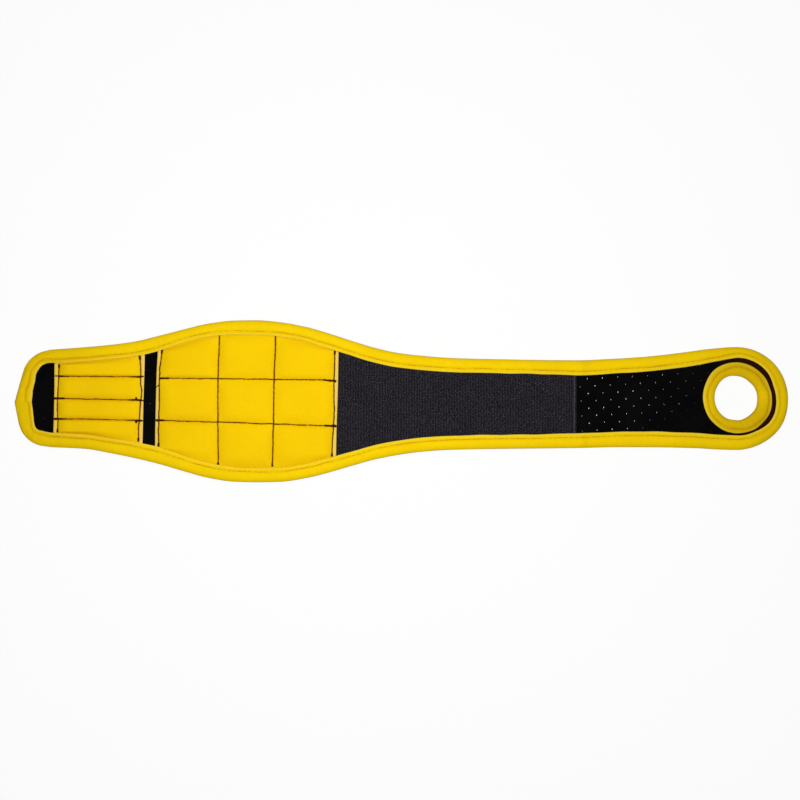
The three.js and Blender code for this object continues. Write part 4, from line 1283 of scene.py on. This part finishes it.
def dress(piece, slot, where, replaced=(), angle=60):
    """Finishes a piece, and has it ride on a body, or, where a fold of the band is given by its number, bakes its
    place into its mesh.
    """
    if angle:
        choose(piece)
        bpy.ops.object.shade_smooth_by_angle(angle=math.radians(angle))
    paint(piece, slot)
    if replaced:
        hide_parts(*replaced)
    if where in BODIES:
        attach(piece, where)
        return
    fold, reach = FOLDS[where], BENDS[where]
    start, end = ((place - MIDDLE) * MM for place in (fold - reach, fold + reach))
    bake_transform(piece)


def flat_area(piece):
    """Half of the area of a closed sheet's faces, in square metres."""
    return sum(face.area for face in piece.data.polygons) / 2


# Camera, straight above the band
CAMERA_PLACE = (-0.0008, 0.00065, 0.5787)
camera_data = bpy.data.cameras.new("camera")
camera_data.lens, camera_data.sensor_width = 50, 36
camera_data.clip_start, camera_data.clip_end = 0.01, 20
camera = bpy.data.objects.new("camera", camera_data)
camera.location = CAMERA_PLACE
bpy.context.scene.collection.objects.link(camera)
bpy.context.scene.camera = camera

# Base, tape and tape seams in lengths, each of which crosses one fold
for index in range(len(BODIES) - 1):
    pair = BODIES[index : index + 2]
    foam = foam_sheet(index)
    dress(foam, "base_sheet", index, [f"base_{body}" for body in pair], angle=None)
    tape = edge_tape(index)
    names = []
    for body in pair:
        ends = body in ("hook_end", "thumb_end")
        names += [f"edge_tape_{body}"] if ends else [f"edge_tape_{body}_upper", f"edge_tape_{body}_lower"]
    dress(tape, "edge_tape", index, names, angle=50)
    dress(tape_seam(index), "yellow_thread", index)

ring = ring_tape()
dress(ring, "edge_tape", "thumb_end", ["thumb_hole_tape"], angle=50)
dress(ring_seam(), "yellow_thread", "thumb_end", ["thumb_hole_thread"])

# Channel panel
cloth = CHANNELS.cloth("channel_cloth")
dress(cloth, "pocket_cloth", 0, ["channel_panel"])
dress(CHANNELS.seams("channel_seams", CHANNEL_THREADS), "dark_thread", 0, ["channel_panel_thread"])

# Pocket panel, in lengths as the base. Each of its lengths and the strip's stands for one or two CAD nodes.
NODES = [["1"], ["1", "2"], ["2", "3"], ["3"]]
POCKET_START, POCKET_END = 73.8, 167.2
POCKET_CUTS = [-math.inf, *CUTS[:3], math.inf]
for index, numbers in enumerate(NODES):
    start, end = within = POCKET_CUTS[index : index + 2]
    cloth = POCKETS.cloth(f"pocket_cloth_{index + 1}", within)
    dress(cloth, "pocket_cloth", index, [f"pocket_cover_{number}" for number in numbers])
    width = (min(end, POCKET_END) - max(start, POCKET_START)) * MM
    min(flat_area(cloth), width * 0.078)
    seams = POCKETS.seams(f"pocket_seams_{index + 1}", POCKET_THREADS, within)
    dress(seams, "dark_thread", index, [f"pocket_thread_{number}" for number in numbers])

# Loop strip
STRIP_CUTS = [STRIP_START, *CUTS[3:6], STRIP_END]
for index, numbers in enumerate(NODES):
    start, end = STRIP_CUTS[index : index + 2]
    strip = loop_strip(f"loop_strip_{index + 1}", start, end)
    dress(strip, "loop_strip", index + 3, [f"loop_strip_strap_{number}" for number in numbers])
    middle = (start + end) / 2
    width = float(tucked_high(middle) - tucked_low(middle)) * MM
    (end - start) * MM
dress(strip_seam(), "pale_thread", 6, ["loop_strip_end_thread"])

# Hook patch
backing = hook_backing()
dress(backing, "hook_patch", "hook_end", ["hook_patch"], angle=40)
dress(hook_field(), "hook_patch", "hook_end")
dress(patch_seam(), "dark_thread", "hook_end")

# Magnets stay as the CAD has them
for name, node in frame["nodes"].items():
    if "magnet" in name:
        paint(node, "magnet")

# Floor, lamps and world
bpy.ops.mesh.primitive_grid_add(x_subdivisions=2, y_subdivisions=2, size=6, location=(0, 0, -0.0005))
floor = named("floor")
floor.data.materials.append(pale_floor())


def lamp(name, place, size, power):
    """Lamp that is aimed at the middle of the band."""
    data = bpy.data.lights.new(name, "AREA")
    data.shape, data.size, data.energy = "DISK", size, power
    made = bpy.data.objects.new(name, data)
    made.location = place
    made.rotation_euler = (-Vector(place)).to_track_quat("-Z", "Y").to_euler()
    made.visible_camera = False
    bpy.context.scene.collection.objects.link(made)


lamp("key", (-0.025, 0.03, 0.43), 0.25, 1.72)
lamp("under", (0, 0, -0.6), 0.4, 2.6)

# The world is bright to the camera and in mirrorings, and dim as a lamp
world = bpy.data.worlds.new("studio")
bpy.context.scene.world = world
world.use_nodes = True
sky = Nodes(world.node_tree)
camera_ray, glossy, through = (
    sky.add("ShaderNodeLightPath", output=f"Is {kind} Ray") for kind in ("Camera", "Glossy", "Transmission")
)
bright = camera_ray.math("MAXIMUM", camera_ray.math("MAXIMUM", camera_ray, glossy), through)
background = sky.tree.nodes["Background"]
background.inputs["Color"].default_value = (1, 1, 1, 1)
sky.tree.links.new((bright * (1 - SKY_LEVEL) + SKY_LEVEL).socket, background.inputs["Strength"])
bpy.context.scene.view_settings.view_transform = "Standard"
